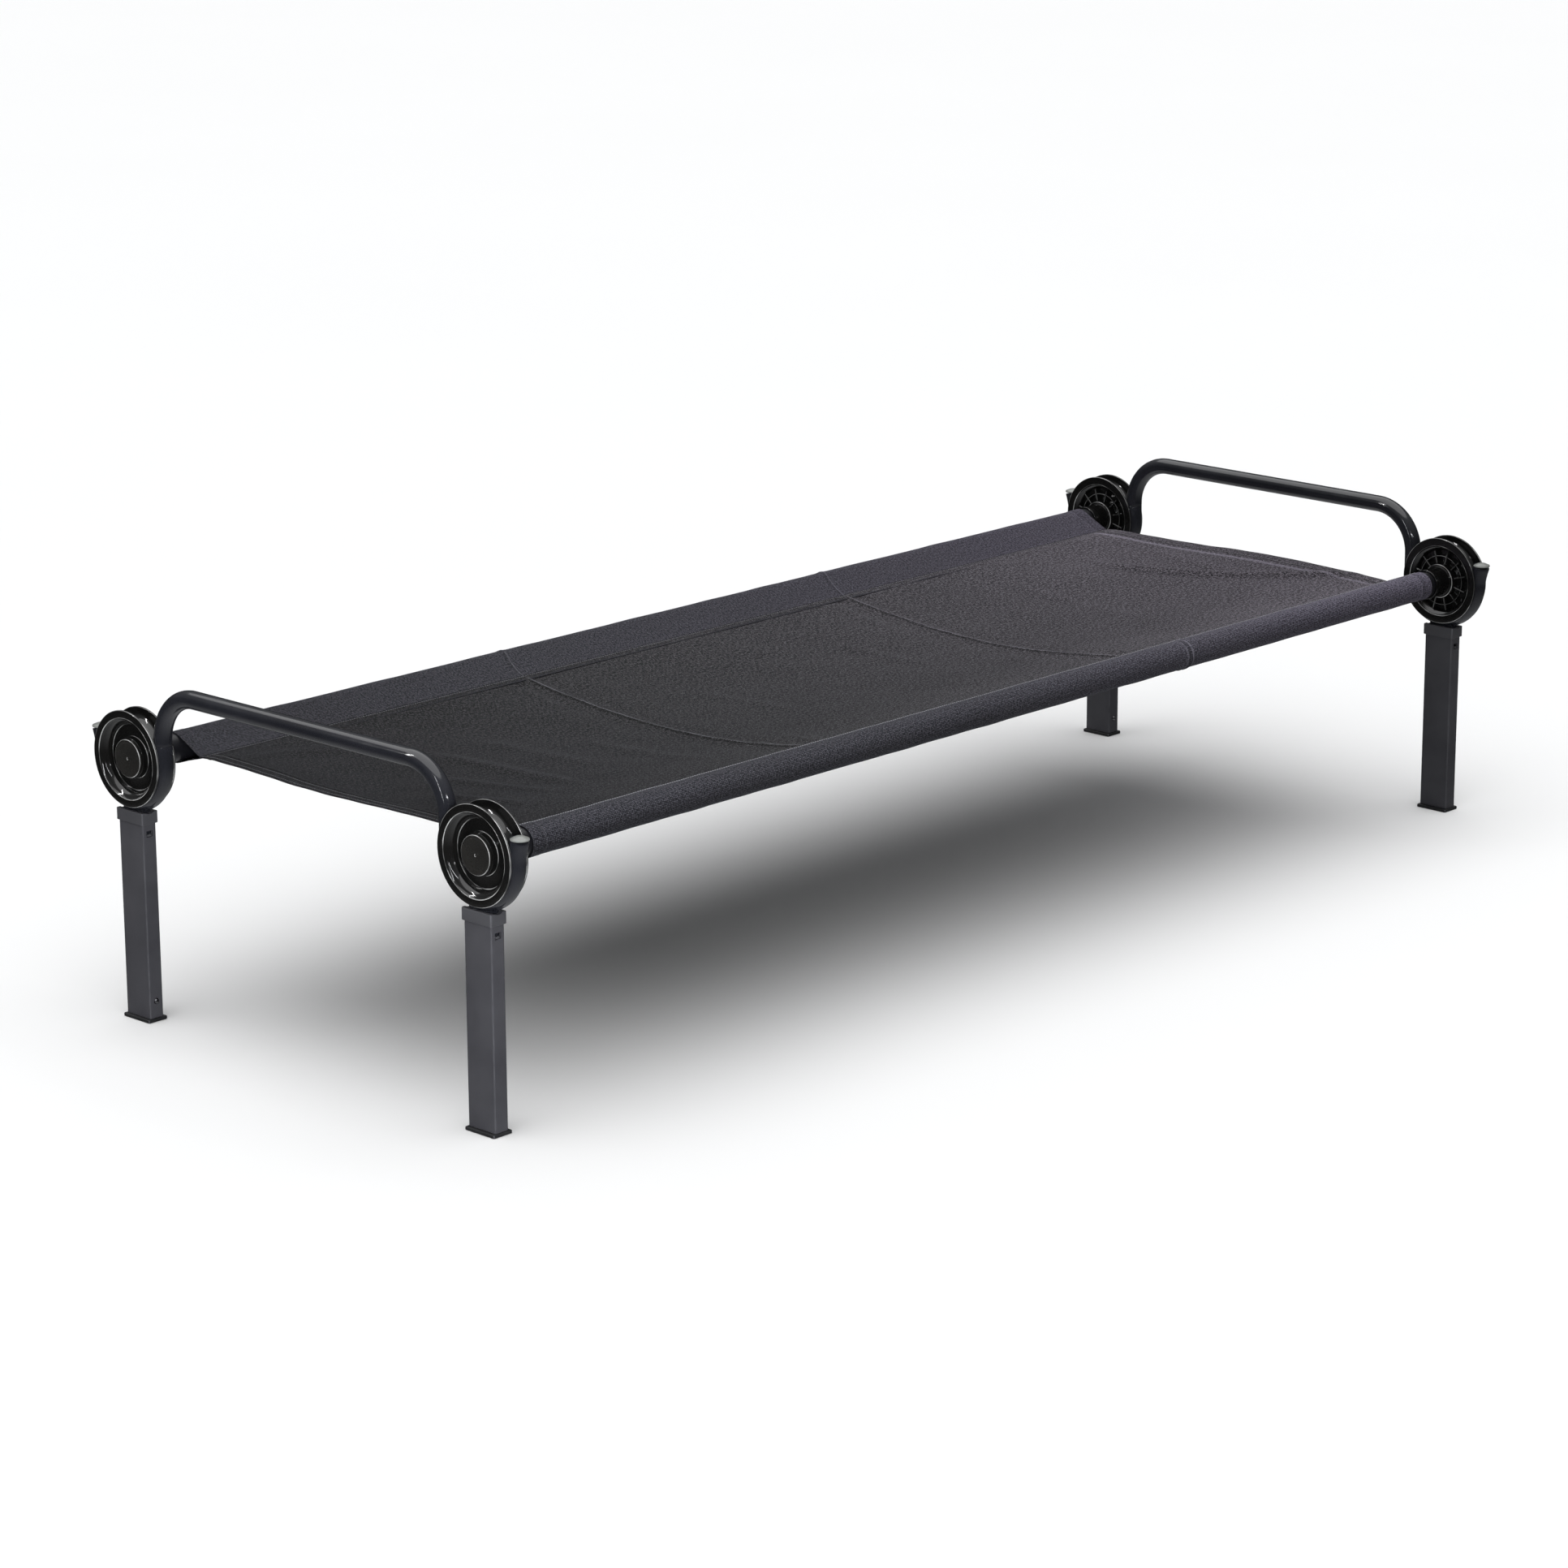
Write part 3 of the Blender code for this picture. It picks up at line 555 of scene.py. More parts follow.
def woven(name, middle_v, seam_v):
    """Coarse plain weave in the cloth's own metres: warp along U, weft along V.

    middle_v is the middle of the deck and seam_v the distance from it to each seam.
    """
    s = Surface(name, Sheen_Weight=0.035, Sheen_Roughness=0.35, Specular_IOR_Level=0.05)
    s.shader.inputs["Sheen Tint"].default_value = (0.72, 0.76, 0.86, 1.0)
    uv = s.node("ShaderNodeUVMap", uv_map="cloth").outputs["UV"]
    u, v, _ = s.split(uv)
    drift = s.ramp(s.noise(uv, 60.0, 2.0, 0.5), 0.0, 1.0, -2.0, 2.0)
    turns = []
    for place in (u, v):
        phase = s.product(place, 2 * math.pi / THREAD_PITCH)
        turns.append(s.ramp(s.math("SINE", s.math("ADD", phase, drift)), -1.0, 1.0, 0.0, 1.0))
    threads = s.product(*turns)
    slub = s.noise(uv, 420.0, 3.0, 0.7, stretch=(0.25, 1.0, 1.0))
    fuzz = s.noise(uv, 1500.0, 2.0, 0.6)
    cloud = s.noise(uv, 5.0, 4.0, 0.6)
    speck = s.noise(uv, 350.0, 3.0, 0.8, stretch=(1.0, 0.55, 1.0))

    # Deck: flecks on the threads; painted light makes it darker at the near end, paler to the far
    # end and paler by the front seam
    base = s.blend(s.ramp(cloud, 0.35, 0.65, 0.0, 1.0), FABRIC_DARK, FABRIC_LIGHT)
    slubs = s.ramp(slub, 0.3, 0.7, 0.4, 1.0)
    raised = s.product(threads, slubs, s.ramp(speck, 0.43, 0.60, 0.0, 1.7))
    painted_sheen_ramp = s.ramp(u, -0.95, 0.95, 0.37, 1.75)
    painted_seam_light = s.ramp(v, middle_v - seam_v, middle_v - seam_v + 0.15, 1.42, 1.0)
    body = s.scaled(s.blend(raised, base, FABRIC_FLECK), s.product(painted_sheen_ramp, painted_seam_light))

    # Sleeves: a paler cloth of their own with painted light on it: painted shade under the rail, and
    # the front one paler to the far end
    from_middle = s.math("ABSOLUTE", s.math("SUBTRACT", v, middle_v))
    grains = s.ramp(s.noise(uv, 330.0, 3.0, 0.8), 0.43, 0.59, 0.0, 1.95)
    sleeve_tone_and_light = s.blend(s.product(threads, grains), SLEEVE_DARK, SLEEVE_FLECK)
    # Painted light along the sleeves: darker at the near end and on the back one, the front one
    # paler to the far end
    near = s.ramp(u, -0.95, -0.20, 0.85, 1.0)
    front_only = s.ramp(v, middle_v - 0.02, middle_v + 0.02, 1.1, 0.15)
    far = s.product(s.ramp(u, -0.10, 0.95, 0.0, 1.0), front_only)
    far = s.math("ADD", far, s.ramp(v, middle_v - 0.02, middle_v + 0.02, 1.0, 0.84))
    # Painted shade on the sleeve's underside, round the rail
    painted_rail_shade = s.ramp(from_middle, seam_v + RAIL_SIDE, seam_v + RAIL_UNDER, 1.0, 0.45)
    sleeve_tone_and_light = s.scaled(sleeve_tone_and_light, s.product(near, far, painted_rail_shade))
    sleeve = s.ramp(from_middle, seam_v - 0.001, seam_v + 0.004, 0.0, 1.0)
    sleeve_mix = s.product(sleeve, s.ramp(cloud, 0.3, 0.7, 0.75, 1.0))
    body = s.blend(sleeve_mix, body, sleeve_tone_and_light)

    body = s.blend(s.ramp(s.noise(uv, 700.0, 1.0, 0.5), 0.70, 0.76, 0.0, 0.7), body, LINT)
    # crease: painted highlight where above 0, painted shade where below
    crease = s.node("ShaderNodeAttribute", attribute_name="crease").outputs["Fac"]
    body = s.blend(s.ramp(crease, 0.0, 1.0, 0.0, 0.75), body, CREASE_HIGHLIGHT)
    body = s.blend(s.ramp(crease, -1.0, 0.0, 0.65, 0.0), body, CREASE_SHADED)
    s.colour(s.blend(s.ramp(u, -0.3, 0.95, 0.0, 1.0), body, FAR_TINT, "MULTIPLY"))
    s.roughness(s.ramp(raised, 0.0, 1.0, 0.86, 0.62))
    s.bump(threads, 0.00022, 0.8)
    s.bump(slub, 0.00018, 0.7)
    s.bump(fuzz, 0.00008, 0.5)
    return s.material


def thread(name, dark, light):
    """Twisted polyester thread."""
    s = Surface(name, Sheen_Weight=0.3, Sheen_Roughness=0.4)
    twist = s.noise(s.place(), 2600.0, 2.0, 0.5, stretch=(1.0, 0.4, 0.4))
    s.colour(s.blend(twist, dark, light))
    s.roughness(s.ramp(twist, 0.2, 0.8, 0.42, 0.62))
    s.bump(twist, 0.00012)
    return s.material


# Rims of the disc and hub that get a painted highlight
DISC_RINGS = (
    (DISC_R - 0.0003, DISC_FACE - 0.0003), (DISC_R - 0.0003, 0.0003 - DISC_FACE),
    (RING_INNER_R, DISC_FACE), (RECESS_RING_R, -DISC_FACE), (0.0458, 0.0),
    (DISC_R, GROOVE_R), (DISC_R, -GROOVE_R), (BOSS_R, 0.0), (SOCKET_R - 0.0006, -SOCKET_COLLAR),
    (INNER_RING_R + INNER_RING_T, 0.0004 - INNER_RING_DEPTH),
)
HUB_RINGS = ((HUB_R - 0.0004, HUB_TOP - 0.0004), (0.0016, HUB_TOP - 0.0006))

COATED_STEEL = coating(
    "coated_steel", (0.0075, 0.0079, 0.0100), (0.0115, 0.0120, 0.0150),
    0.115, 0.03, 900.0, 0.00003, 0.50,
)
LEG_COATING = coating(
    "leg_coating", (0.030, 0.0296, 0.0338), (0.042, 0.0415, 0.0465),
    0.42, 0.06, 1400.0, 0.00005, 0.35,
    LEG_SIZE,
)
RAIL_COATING = coating(
    "rail_coating", (0.0045, 0.0045, 0.0055), (0.0070, 0.0070, 0.0085),
    0.30, 0.05, 1100.0, 0.00004, 0.30,
)
DISC_PLASTIC = moulded(
    "disc_plastic", (0.0028, 0.0028, 0.0028), (0.0050, 0.0048, 0.0045),
    0.10, 0.03, 420.0, 0.00002, 0.50,
    DISC_RINGS, crest=(RIB_DEPTH, SOCKET_R + 0.0004, RIB_OUTER),
)
HUB_PLASTIC = moulded(
    "hub_plastic", (0.0080, 0.0076, 0.0070), (0.0120, 0.0114, 0.0104),
    0.26, 0.05, 1300.0, 0.00003, 0.45,
    HUB_RINGS,
)
COLLAR_PLASTIC = moulded(
    "collar_plastic", (0.034, 0.0338, 0.0375), (0.046, 0.0458, 0.0500),
    0.46, 0.06, 1800.0, 0.00008, 0.30,
    corners=COLLAR_SIZE,
)
CAP_PLASTIC = moulded(
    "cap_plastic", (0.115, 0.120, 0.112), (0.165, 0.170, 0.160),
    0.34, 0.06, 1600.0, 0.00004, 0.50,
)
FOOT_PLASTIC = moulded(
    "foot_plastic", (0.009, 0.009, 0.0095), (0.015, 0.015, 0.016),
    0.55, 0.08, 1700.0, 0.00010, 0.20,
    corners=PLATE_SIZE,
)
PLATED_STEEL = plated("plated_steel")
SEAM_THREAD = thread("seam_thread", (0.13, 0.13, 0.14), (0.25, 0.25, 0.27))
HEM_THREAD = thread("hem_thread", (0.016, 0.016, 0.018), (0.045, 0.045, 0.050))


# --- end frames

def cradle_path():
    path = [(CRADLE_R, z) for z in np.linspace(INNER_ARM, 0.0, 4)[:-1]]
    path += arc((0.0, 0.0), CRADLE_R, 0, -180, 48)
    for z in np.linspace(0.0, OUTER_ARM, 8)[1:]:
        path.append((-CRADLE_R - ARM_FLARE * (z / OUTER_ARM) ** 1.5, z))
    return path


def hoop_path():
    leg_y = AXIS_Y - CRADLE_R
    bend_y = leg_y - HOOP_BEND_R
    bend_z = HOOP_RISE - HOOP_BEND_R
    path = [(-leg_y, INNER_ARM + GAP)]
    path += arc((-bend_y, bend_z), HOOP_BEND_R, 180, 90, 28)
    path += [(y, HOOP_RISE) for y in np.linspace(-bend_y, bend_y, 12)[1:-1]]
    path += arc((bend_y, bend_z), HOOP_BEND_R, 90, 0, 28)
    path.append((leg_y, INNER_ARM + GAP))
    return path


def build_frames():
    cradle = new_piece("cradle_pattern", *bar(cradle_path(), TUBE_R, TUBE_SIDES), COATED_STEEL)
    hoop = new_piece("hoop_pattern", *bar(hoop_path(), TUBE_R, TUBE_SIDES), COATED_STEEL)
    dome = [(0.0, CAP_DOME)]
    dome += arc((0.0, CAP_DOME - CAP_SPHERE_R), CAP_SPHERE_R, 84, 57, 8)
    dome = [(r, z) for r, z in dome if r < TUBE_R - CAP_EDGE]
    dome += arc((TUBE_R - CAP_EDGE, CAP_EDGE_Z), CAP_EDGE, 60, 0, 4)
    dome += [(TUBE_R, GAP + 0.0003), (TUBE_R - 0.0003, GAP), (0.0, GAP)]
    cap = new_piece("cap_pattern", *turned(dome, TUBE_SIDES, closed=False), CAP_PLASTIC)
    cap.data.transform(Matrix.Rotation(-math.pi / 2, 4, "Y"))
    for end, row in ((-1, "left"), (1, "right")):
        at = (end * FRAME_X, 0, AXIS_Z)
        put(hoop, f"{row}_hoop_tube", at, 0.0, f"{row}_frame", "coated_steel", f"{row}_hoop")
    for corner, (end, side) in CORNERS.items():
        body = f"{corner.split('_')[0]}_frame"
        turn = 0.0 if side < 0 else math.pi
        at = (end * FRAME_X, side * AXIS_Y, AXIS_Z)
        top = (at[0], at[1] + side * (CRADLE_R + ARM_FLARE), AXIS_Z + OUTER_ARM)
        put(cradle, f"{corner}_cradle_tube", at, turn, body, "coated_steel", f"{corner}_cradle")
        put(cap, f"{corner}_cap_dome", top, 0.0, body, "cap_plastic", f"{corner}_cradle_cap")
    discard(cradle, hoop, cap)


# --- legs

LEG_HALF = (LEG_SIZE.x / 2, LEG_SIZE.y / 2)
LEG_WALL = 0.0020
LEG_CORNER = 0.0024
LEG_BORE_CORNER = 0.0008
LEG_EDGE = 0.0003
SLOT_HALF = (0.0054, 0.0044)
SLOT_Z = 0.2648
TAB_HALF = (0.0030, 0.0015)
TAB_SHY = 0.0004            # of the leg's face
TAB_CORNER = 0.0006
TAB_EDGE = 0.0004
WINDOW_HALF = 0.0038
WINDOW_CORNER = 0.0004
COLLAR_SKIRT_Z = 0.2788
COLLAR_CORNER = 0.0030
COLLAR_EDGE = 0.0009
COLLAR_WALL = 0.0015
COLLAR_BORE_CORNER = 0.0006
LINER_DROP = 0.0025         # of its top, below the skirt's
LINER_EDGE = 0.0003
PLATE_T = 0.0046
PLATE_CORNER = 0.0022
PLATE_EDGE = 0.0011
PLUG_WALL = 0.0022
PLUG_CORNER = 0.0012
PLUG_EDGE = 0.0006
PLUG_BORE_CORNER = 0.0008
PLUG_HALF = (LEG_HALF[0] - LEG_WALL - GAP, LEG_HALF[1] - LEG_WALL - GAP)
HOLE_R = 0.0043
BUTTON_R = 0.0040
BUTTON_PROUD = 0.0026
BUTTON_FLANGE_R = 0.0060
BUTTON_FLANGE_T = 0.0012
BUTTON_EDGE = 0.0002
BUTTON_Z = (BUTTON_BOX[0].z + BUTTON_BOX[1].z) / 2
CUT_REACH = 0.04            # of a cutter, to each side of the leg's middle
CUT_PAST = 0.01             # of a cutter, beyond the face it opens
HOLE_REACH = 0.008
CHANNEL_REACH = 0.05
PLUG_ROOT = 0.001           # of the plug, inside the plate
PLUG_FLOOR = 0.002          # between the plate and the plug's hollow


def block(name, low, high, half, corner, soft, material):
    """Upright box of rounded section, half = (along X, along Y), its edges softened."""
    return new_piece(name, *slab(edge_levels(low, high, *half, corner, soft)), material)


def prism(name, low, high, half, corner, material):
    """The same with plain edges."""
    return new_piece(name, *slab([(z, *half, corner) for z in (low, high)]), material)


def rod(name, radius, reach, sides, material):
    """Cylinder along local X, reaching as far to each side."""
    outline = [(0, -reach), (radius, -reach), (radius, reach), (0, reach)]
    return new_piece(name, *turned(outline, sides, closed=False), material)


def placed(piece, at, axis):
    """Gives the mesh a quarter turn about an axis, then moves it."""
    piece.data.transform(Matrix.Translation(at) @ Matrix.Rotation(math.pi / 2, 4, axis))
    return piece


def button_hole(name, material):
    """Cutter for the button's hole, in the leg or in the foot's plug."""
    return placed(rod(name, HOLE_R, HOLE_REACH, 32, material), (0, LEG_HALF[1], BUTTON_Z), "Z")


def edge_levels(z_low, z_high, half_x, half_y, corner, soft):
    """Levels of a slab whose top and bottom edges are rounded by soft."""
    levels = []
    for t in (0.0, 0.35, 0.70, 1.0):
        a = t * math.pi / 2
        inset = soft * (1 - math.sin(a))
        levels.append((z_low + soft * (1 - math.cos(a)), half_x - inset, half_y - inset, corner))
    for z, hx, hy, c in list(reversed(levels)):
        levels.append((z_high - (z - z_low), hx, hy, c))
    return levels


def leg_pattern():
    low, high = LEG_BOX[0].z, LEG_BOX[1].z
    hx, hy = LEG_HALF
    inner = (hx - LEG_WALL, hy - LEG_WALL, LEG_BORE_CORNER)
    edge = (hx - LEG_EDGE, hy - LEG_EDGE, LEG_CORNER - LEG_EDGE)
    levels = [
        (low, *edge), (low + LEG_EDGE, hx, hy, LEG_CORNER), (high - LEG_EDGE, hx, hy, LEG_CORNER),
        (high, *edge), (high, *inner), (low, *inner),
    ]
    tube = new_piece("leg_pattern", *slab(levels, False, False), LEG_COATING)
    slot = prism("slot", -CUT_REACH, CUT_REACH, SLOT_HALF, LEG_BORE_CORNER, LEG_COATING)
    return cut(tube, [placed(slot, (0, 0, SLOT_Z), "X"), button_hole("hole_cutter", LEG_COATING)])


def collar_pattern():
    """Skirt over the leg's top and liner inside it, with snap tabs and the cradle's channel."""
    base, top, plastic = COLLAR_BOX[0].z, COLLAR_BOX[1].z, COLLAR_PLASTIC
    half = COLLAR_SIZE.xy / 2
    skirt = block("collar_pattern", COLLAR_SKIRT_Z, top, half, COLLAR_CORNER, COLLAR_EDGE, plastic)
    sleeve = [reach + GAP for reach in LEG_HALF]
    rebate_top = LEG_BOX[1].z + GAP
    rebate = prism("rebate", COLLAR_SKIRT_Z - CUT_PAST, rebate_top, sleeve, LEG_CORNER, plastic)
    skirt = cut(skirt, [rebate])
    liner = block("liner", base, top - LINER_DROP, PLUG_HALF, PLUG_CORNER, LINER_EDGE, plastic)
    tip = LEG_HALF[1] - TAB_SHY
    tabs = block("tabs", -tip, tip, TAB_HALF, TAB_CORNER, TAB_EDGE, plastic)
    placed(tabs, (0, 0, SLOT_Z - SLOT_HALF[1] + TAB_HALF[1] + 2 * GAP), "X")
    window_half = (SLOT_HALF[0], WINDOW_HALF)
    window = prism("window", -CUT_REACH, CUT_REACH, window_half, WINDOW_CORNER, plastic)
    placed(window, (0, 0, SLOT_Z + SLOT_HALF[1] - WINDOW_HALF), "X")
    skirt = cut(skirt, [cut(liner, [window]), tabs], "UNION")
    bore = [reach - COLLAR_WALL for reach in PLUG_HALF]
    socket = prism("socket", base - CUT_PAST, top + CUT_PAST, bore, COLLAR_BORE_CORNER, plastic)
    channel = rod("channel", TUBE_R + 2 * GAP, CHANNEL_REACH, TUBE_SIDES, plastic)
    return cut(skirt, [socket, placed(channel, (0, 0, AXIS_Z - CRADLE_R), "Z")])


def foot_pattern():
    """Plate on the floor, and a hollow plug up inside the leg."""
    half, top, plastic = PLATE_SIZE.xy / 2, PLATE_BOX[1].z, FOOT_PLASTIC
    plate = block("foot_pattern", 0.0, PLATE_T, half, PLATE_CORNER, PLATE_EDGE, plastic)
    plug = block("plug", PLATE_T - PLUG_ROOT, top, PLUG_HALF, PLUG_CORNER, PLUG_EDGE, plastic)
    plate = cut(plate, [plug], "UNION")
    bore = [reach - PLUG_WALL for reach in PLUG_HALF]
    floor, past = PLATE_T + PLUG_FLOOR, top + CUT_PAST
    hollow = prism("hollow", floor, past, bore, PLUG_BORE_CORNER, plastic)
    return cut(plate, [hollow, button_hole("plug_hole", plastic)])


def button_pattern():
    """Ball-nosed pin along local +X, from the leg's face at zero."""
    back = BUTTON_PROUD + BUTTON_FLANGE_T - (BUTTON_BOX[1].y - BUTTON_BOX[0].y)
    nose = BUTTON_PROUD - BUTTON_R
    outline = [(0.0, BUTTON_PROUD), *arc((0.0, nose), BUTTON_R, 80, 4, 10)]
    outline += [
        (BUTTON_R, nose - BUTTON_EDGE * 2), (BUTTON_R, back), (BUTTON_FLANGE_R - BUTTON_EDGE, back),
        (BUTTON_FLANGE_R, back - BUTTON_EDGE), (BUTTON_FLANGE_R, back - BUTTON_FLANGE_T),
        (0.0, back - BUTTON_FLANGE_T),
    ]
    return new_piece("button_pattern", *turned(outline, 40, closed=False), PLATED_STEEL)


def build_legs():
    patterns = {
        "leg": (leg_pattern(), "tube", "leg_coating"),
        "leg_collar": (collar_pattern(), "moulding", "collar_plastic"),
        "foot": (foot_pattern(), "moulding", "foot_plastic"),
    }
    pin = button_pattern()
    for corner, (end, side) in CORNERS.items():
        at = (end * FRAME_X, side * AXIS_Y, 0.0)
        turn = 0.0 if side < 0 else math.pi
        for node, (pattern, word, slot) in patterns.items():
            node = f"{corner}_{node}"
            put(pattern, f"{node}_{word}", at, turn, f"{corner}_leg_unit", slot, node)
        face = (at[0], at[1] - side * LEG_HALF[1], BUTTON_Z)
        body, node = f"{corner}_button", f"{corner}_foot_button"
        put(pin, f"{body}_pin", face, -side * math.pi / 2, body, "plated_steel", node)
    discard(pin, *(pattern for pattern, _, _ in patterns.values()))
    for corner in CORNERS:
        for node, material in (("stub", COATED_STEEL), ("foot_spring", PLATED_STEEL)):
            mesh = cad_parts[f"{corner}_{node}"].data
            mesh.materials.clear()
            mesh.materials.append(material)


# --- rails and discs

def disc_outline():
    """(radius, along) section of the sheave."""
    def bends(*sweep):
        return [(*point, 0.0) for point in arc((CRADLE_R, 0.0), *sweep)]

    # radius, along, rounding
    corners = [
        (RING_INNER_R, DISC_FACE, 0.0007), (DISC_R, DISC_FACE, 0.0010), (DISC_R, GROOVE_R, 0.0005),
        *bends(GROOVE_R, 90, 270, 24),
        (DISC_R, -GROOVE_R, 0.0005), (DISC_R, -DISC_FACE, 0.0010),
        (RECESS_RING_R, -DISC_FACE, 0.0007),
        *bends(BOWL_ARC_R, 238, 191, 12),
        (SOCKET_R, -WEB_INBOARD, 0.0012), (SOCKET_R, -SOCKET_COLLAR, 0.0012),
        (SOCKET_TUBE_R, -SOCKET_COLLAR, 0.0006), (SOCKET_TUBE_R, -SOCKET_END, 0.0008),
        (SOCKET_BORE_R, -SOCKET_END, 0.0004), (SOCKET_BORE_R, -SOCKET_BOTTOM, 0.0),
        (BOSS_BORE_R, -SOCKET_BOTTOM, 0.0), (BOSS_BORE_R, BOSS_TOP, 0.0),
        (BOSS_R, BOSS_TOP, 0.0008), (BOSS_R, -WEB_OUTBOARD, 0.0012),
        *bends(BOWL_ARC_R, 180, 118, 14),
    ]
    return rounded([corner[:2] for corner in corners], [corner[2] for corner in corners])


def disc_pattern():
    """Sheave on local X, outboard towards +X, with ribs and a ring in its recess."""
    sheave = new_piece("disc_pattern", *turned(disc_outline(), DISC_SIDES), DISC_PLASTIC)
    ring = rounded(
        [(INNER_RING_R, -RIB_ROOT), (INNER_RING_R + INNER_RING_T, -RIB_ROOT),
         (INNER_RING_R + INNER_RING_T, -INNER_RING_DEPTH), (INNER_RING_R, -INNER_RING_DEPTH)],
        [0, 0, 0.0004, 0.0004], 3,
    )
    wall = new_piece("inner_ring", *turned(ring, DISC_SIDES), DISC_PLASTIC)
    ribs = []
    half_t, half_l = RIB_THICKNESS / 2, (RIB_OUTER - RIB_INNER) / 2
    for i in range(RIB_COUNT):
        levels = [
            (RIB_ROOT, half_t, half_l, 0.0002),
            (RIB_DEPTH - 0.0005, half_t * 0.86, half_l, 0.0004),
            (RIB_DEPTH - 0.0001, half_t * 0.60, half_l - 0.0003, 0.0004),
            (RIB_DEPTH, half_t * 0.40, half_l - 0.0005, 0.0003),
        ]
        rib = new_piece(f"rib_{i}", *slab(levels, count=3), DISC_PLASTIC)
        place = Matrix.Rotation(2 * math.pi * (i + 0.5) / RIB_COUNT, 4, "X")
        place = place @ Matrix.Translation((0, (RIB_OUTER + RIB_INNER) / 2, 0))
        place = place @ Matrix.Rotation(-math.pi / 2, 4, "Y")
        rib.data.transform(place)
        ribs.append(rib)
    return cut(sheave, [wall, *ribs], "UNION")


def hub_pattern():
    """Cap pressed on the disc's boss, with a shallow ring and a gate dimple."""
    face, gate = HUB_TOP - HUB_SINK, HUB_TOP - GATE_DEPTH
    points = [
        (0.0, gate), (GATE_R[0], gate), (GATE_R[1], face), (HUB_R * 0.80, face),
        (HUB_R * 0.84, HUB_TOP), (HUB_R, HUB_TOP), (HUB_R, BOSS_TOP + GAP), (0.0, BOSS_TOP + GAP),
    ]
    radii = [0, 0.0004, 0.0006, 0.0006, 0.0006, 0.0012, 0.0002, 0]
    outline = rounded(points, radii, closed=False)
    return new_piece("hub_pattern", *turned(outline, DISC_SIDES, False), HUB_PLASTIC)


def rail_pieces(row, side):
    """Three tubes on the rail axis, each with a softened mouth."""
    at = (0.0, side * AXIS_Y, AXIS_Z)
    far = FRAME_X - SOCKET_BOTTOM - GAP
    spans = {
        "left": (-far, -RAIL_JOINT_X - GAP),
        "middle": (-RAIL_JOINT_X, RAIL_JOINT_X),
        "right": (RAIL_JOINT_X + GAP, far),
    }
    for section, (low, high) in spans.items():
        outline = rounded(
            [(RAIL_R, high), (RAIL_R, low), (RAIL_BORE_R, low), (RAIL_BORE_R, high)],
            [RAIL_MOUTH] * 4, 3,
        )
        outline = densified(outline, np.linspace(high, low, 12)[1:-1])
        name = f"{row}_rail_{section}"
        piece = new_piece(f"{name}_tube", *turned(outline, RAIL_SIDES), RAIL_COATING)
        piece.location = at
        finish_piece(piece, f"{row}_rail", "rail_coating", name)


def densified(outline, stations):
    """Adds points on the outline's first long run, so that no face is very long."""
    out = []
    for i, point in enumerate(outline):
        out.append(point)
        after = outline[(i + 1) % len(outline)]
        if abs(after[1] - point[1]) > 0.1 and abs(after[0] - point[0]) < 1e-6:
            rising = after[1] > point[1]
            out += [(point[0], z) for z in sorted(stations, reverse=not rising)]
    return out


def build_rails():
    disc = disc_pattern()
    hub = hub_pattern()
    for row, side in (("front", -1), ("back", 1)):
        rail_pieces(row, side)
    for corner, (end, side) in CORNERS.items():
        body = f"{corner.split('_')[1]}_rail"
        at = (end * FRAME_X, side * AXIS_Y, AXIS_Z)
        turn = 0.0 if end > 0 else math.pi
        put(disc, f"{corner}_sheave", at, turn, body, "disc_plastic", f"{corner}_disc")
        put(hub, f"{corner}_hub_cover", at, turn, body, "hub_plastic", f"{corner}_hub_cap")
    discard(disc, hub)


# --- fabric sling

COLUMNS = 560
FINE_STEPS = 4001           # along X, for spacing the columns
PANEL_ROWS = 120
WRAP_ROWS = 22
LINE_ROWS = 13
LINE_CROWDING = 1.9         # of those rows, towards the seam
FLAP_ROWS = 4
WELT = 0.0008
WELT_WIDTH = 0.0060
FOLD_FADE = 0.25            # share of a soft fold's length, at each end
PACKING_FOLDS = ((-0.357, 0.0034), (0.322, 0.0034))     # place along X, height
FOLD_LIT = 15.0             # painted highlight on a soft fold's crest, per metre of its height
FOLD_SHADED = 54.0          # and painted shade beside it
PACKING_SLANT = 0.004       # of those folds along X, from the middle to the back seam
PACKING_LEAN = 0.014        # and on over the back sleeve
END_DIP = 0.0014            # of the near end's edge, below the seams
END_RISE = 0.0065           # of the far end's edge, above them
END_TILT = 0.0025
ROW_CROWDING = math.pi * 0.36   # of the deck's rows, towards the seams
JOINT_DIMPLE = 0.0105       # from one crease to the next, over a rail joint
JOINT_RIDGES = ((0.0, 0.0016, 0.0024), (JOINT_DIMPLE, 0.0011, 0.0026))  # back from it, height, width
PACKING_RIDGE = 0.0014      # of those folds, over the back sleeve
FINE_RIPPLE = 0.00035       # of the sleeves
SLACK_RIPPLE = 0.0006       # where the cloth has left the rail
END_SLANT = 0.007           # of the sleeves' ends, from over the rail to under it
SLANT_RUN = 0.11
STITCH_PITCH = 0.0042
STITCH_LENGTH = 0.0032
STITCH_R = 0.00055
STITCH_SIDES = 6
STITCH_PROUD = 0.45         # share of its radius
STITCH_ROUNDS = ((0.06, 0.55), (0.22, 0.92), (0.5, 1.0), (0.78, 0.92), (0.94, 0.55))
HEM_STITCH = 0.004          # from the band's inner edge
END_STITCH = 0.006          # from the end of the cloth

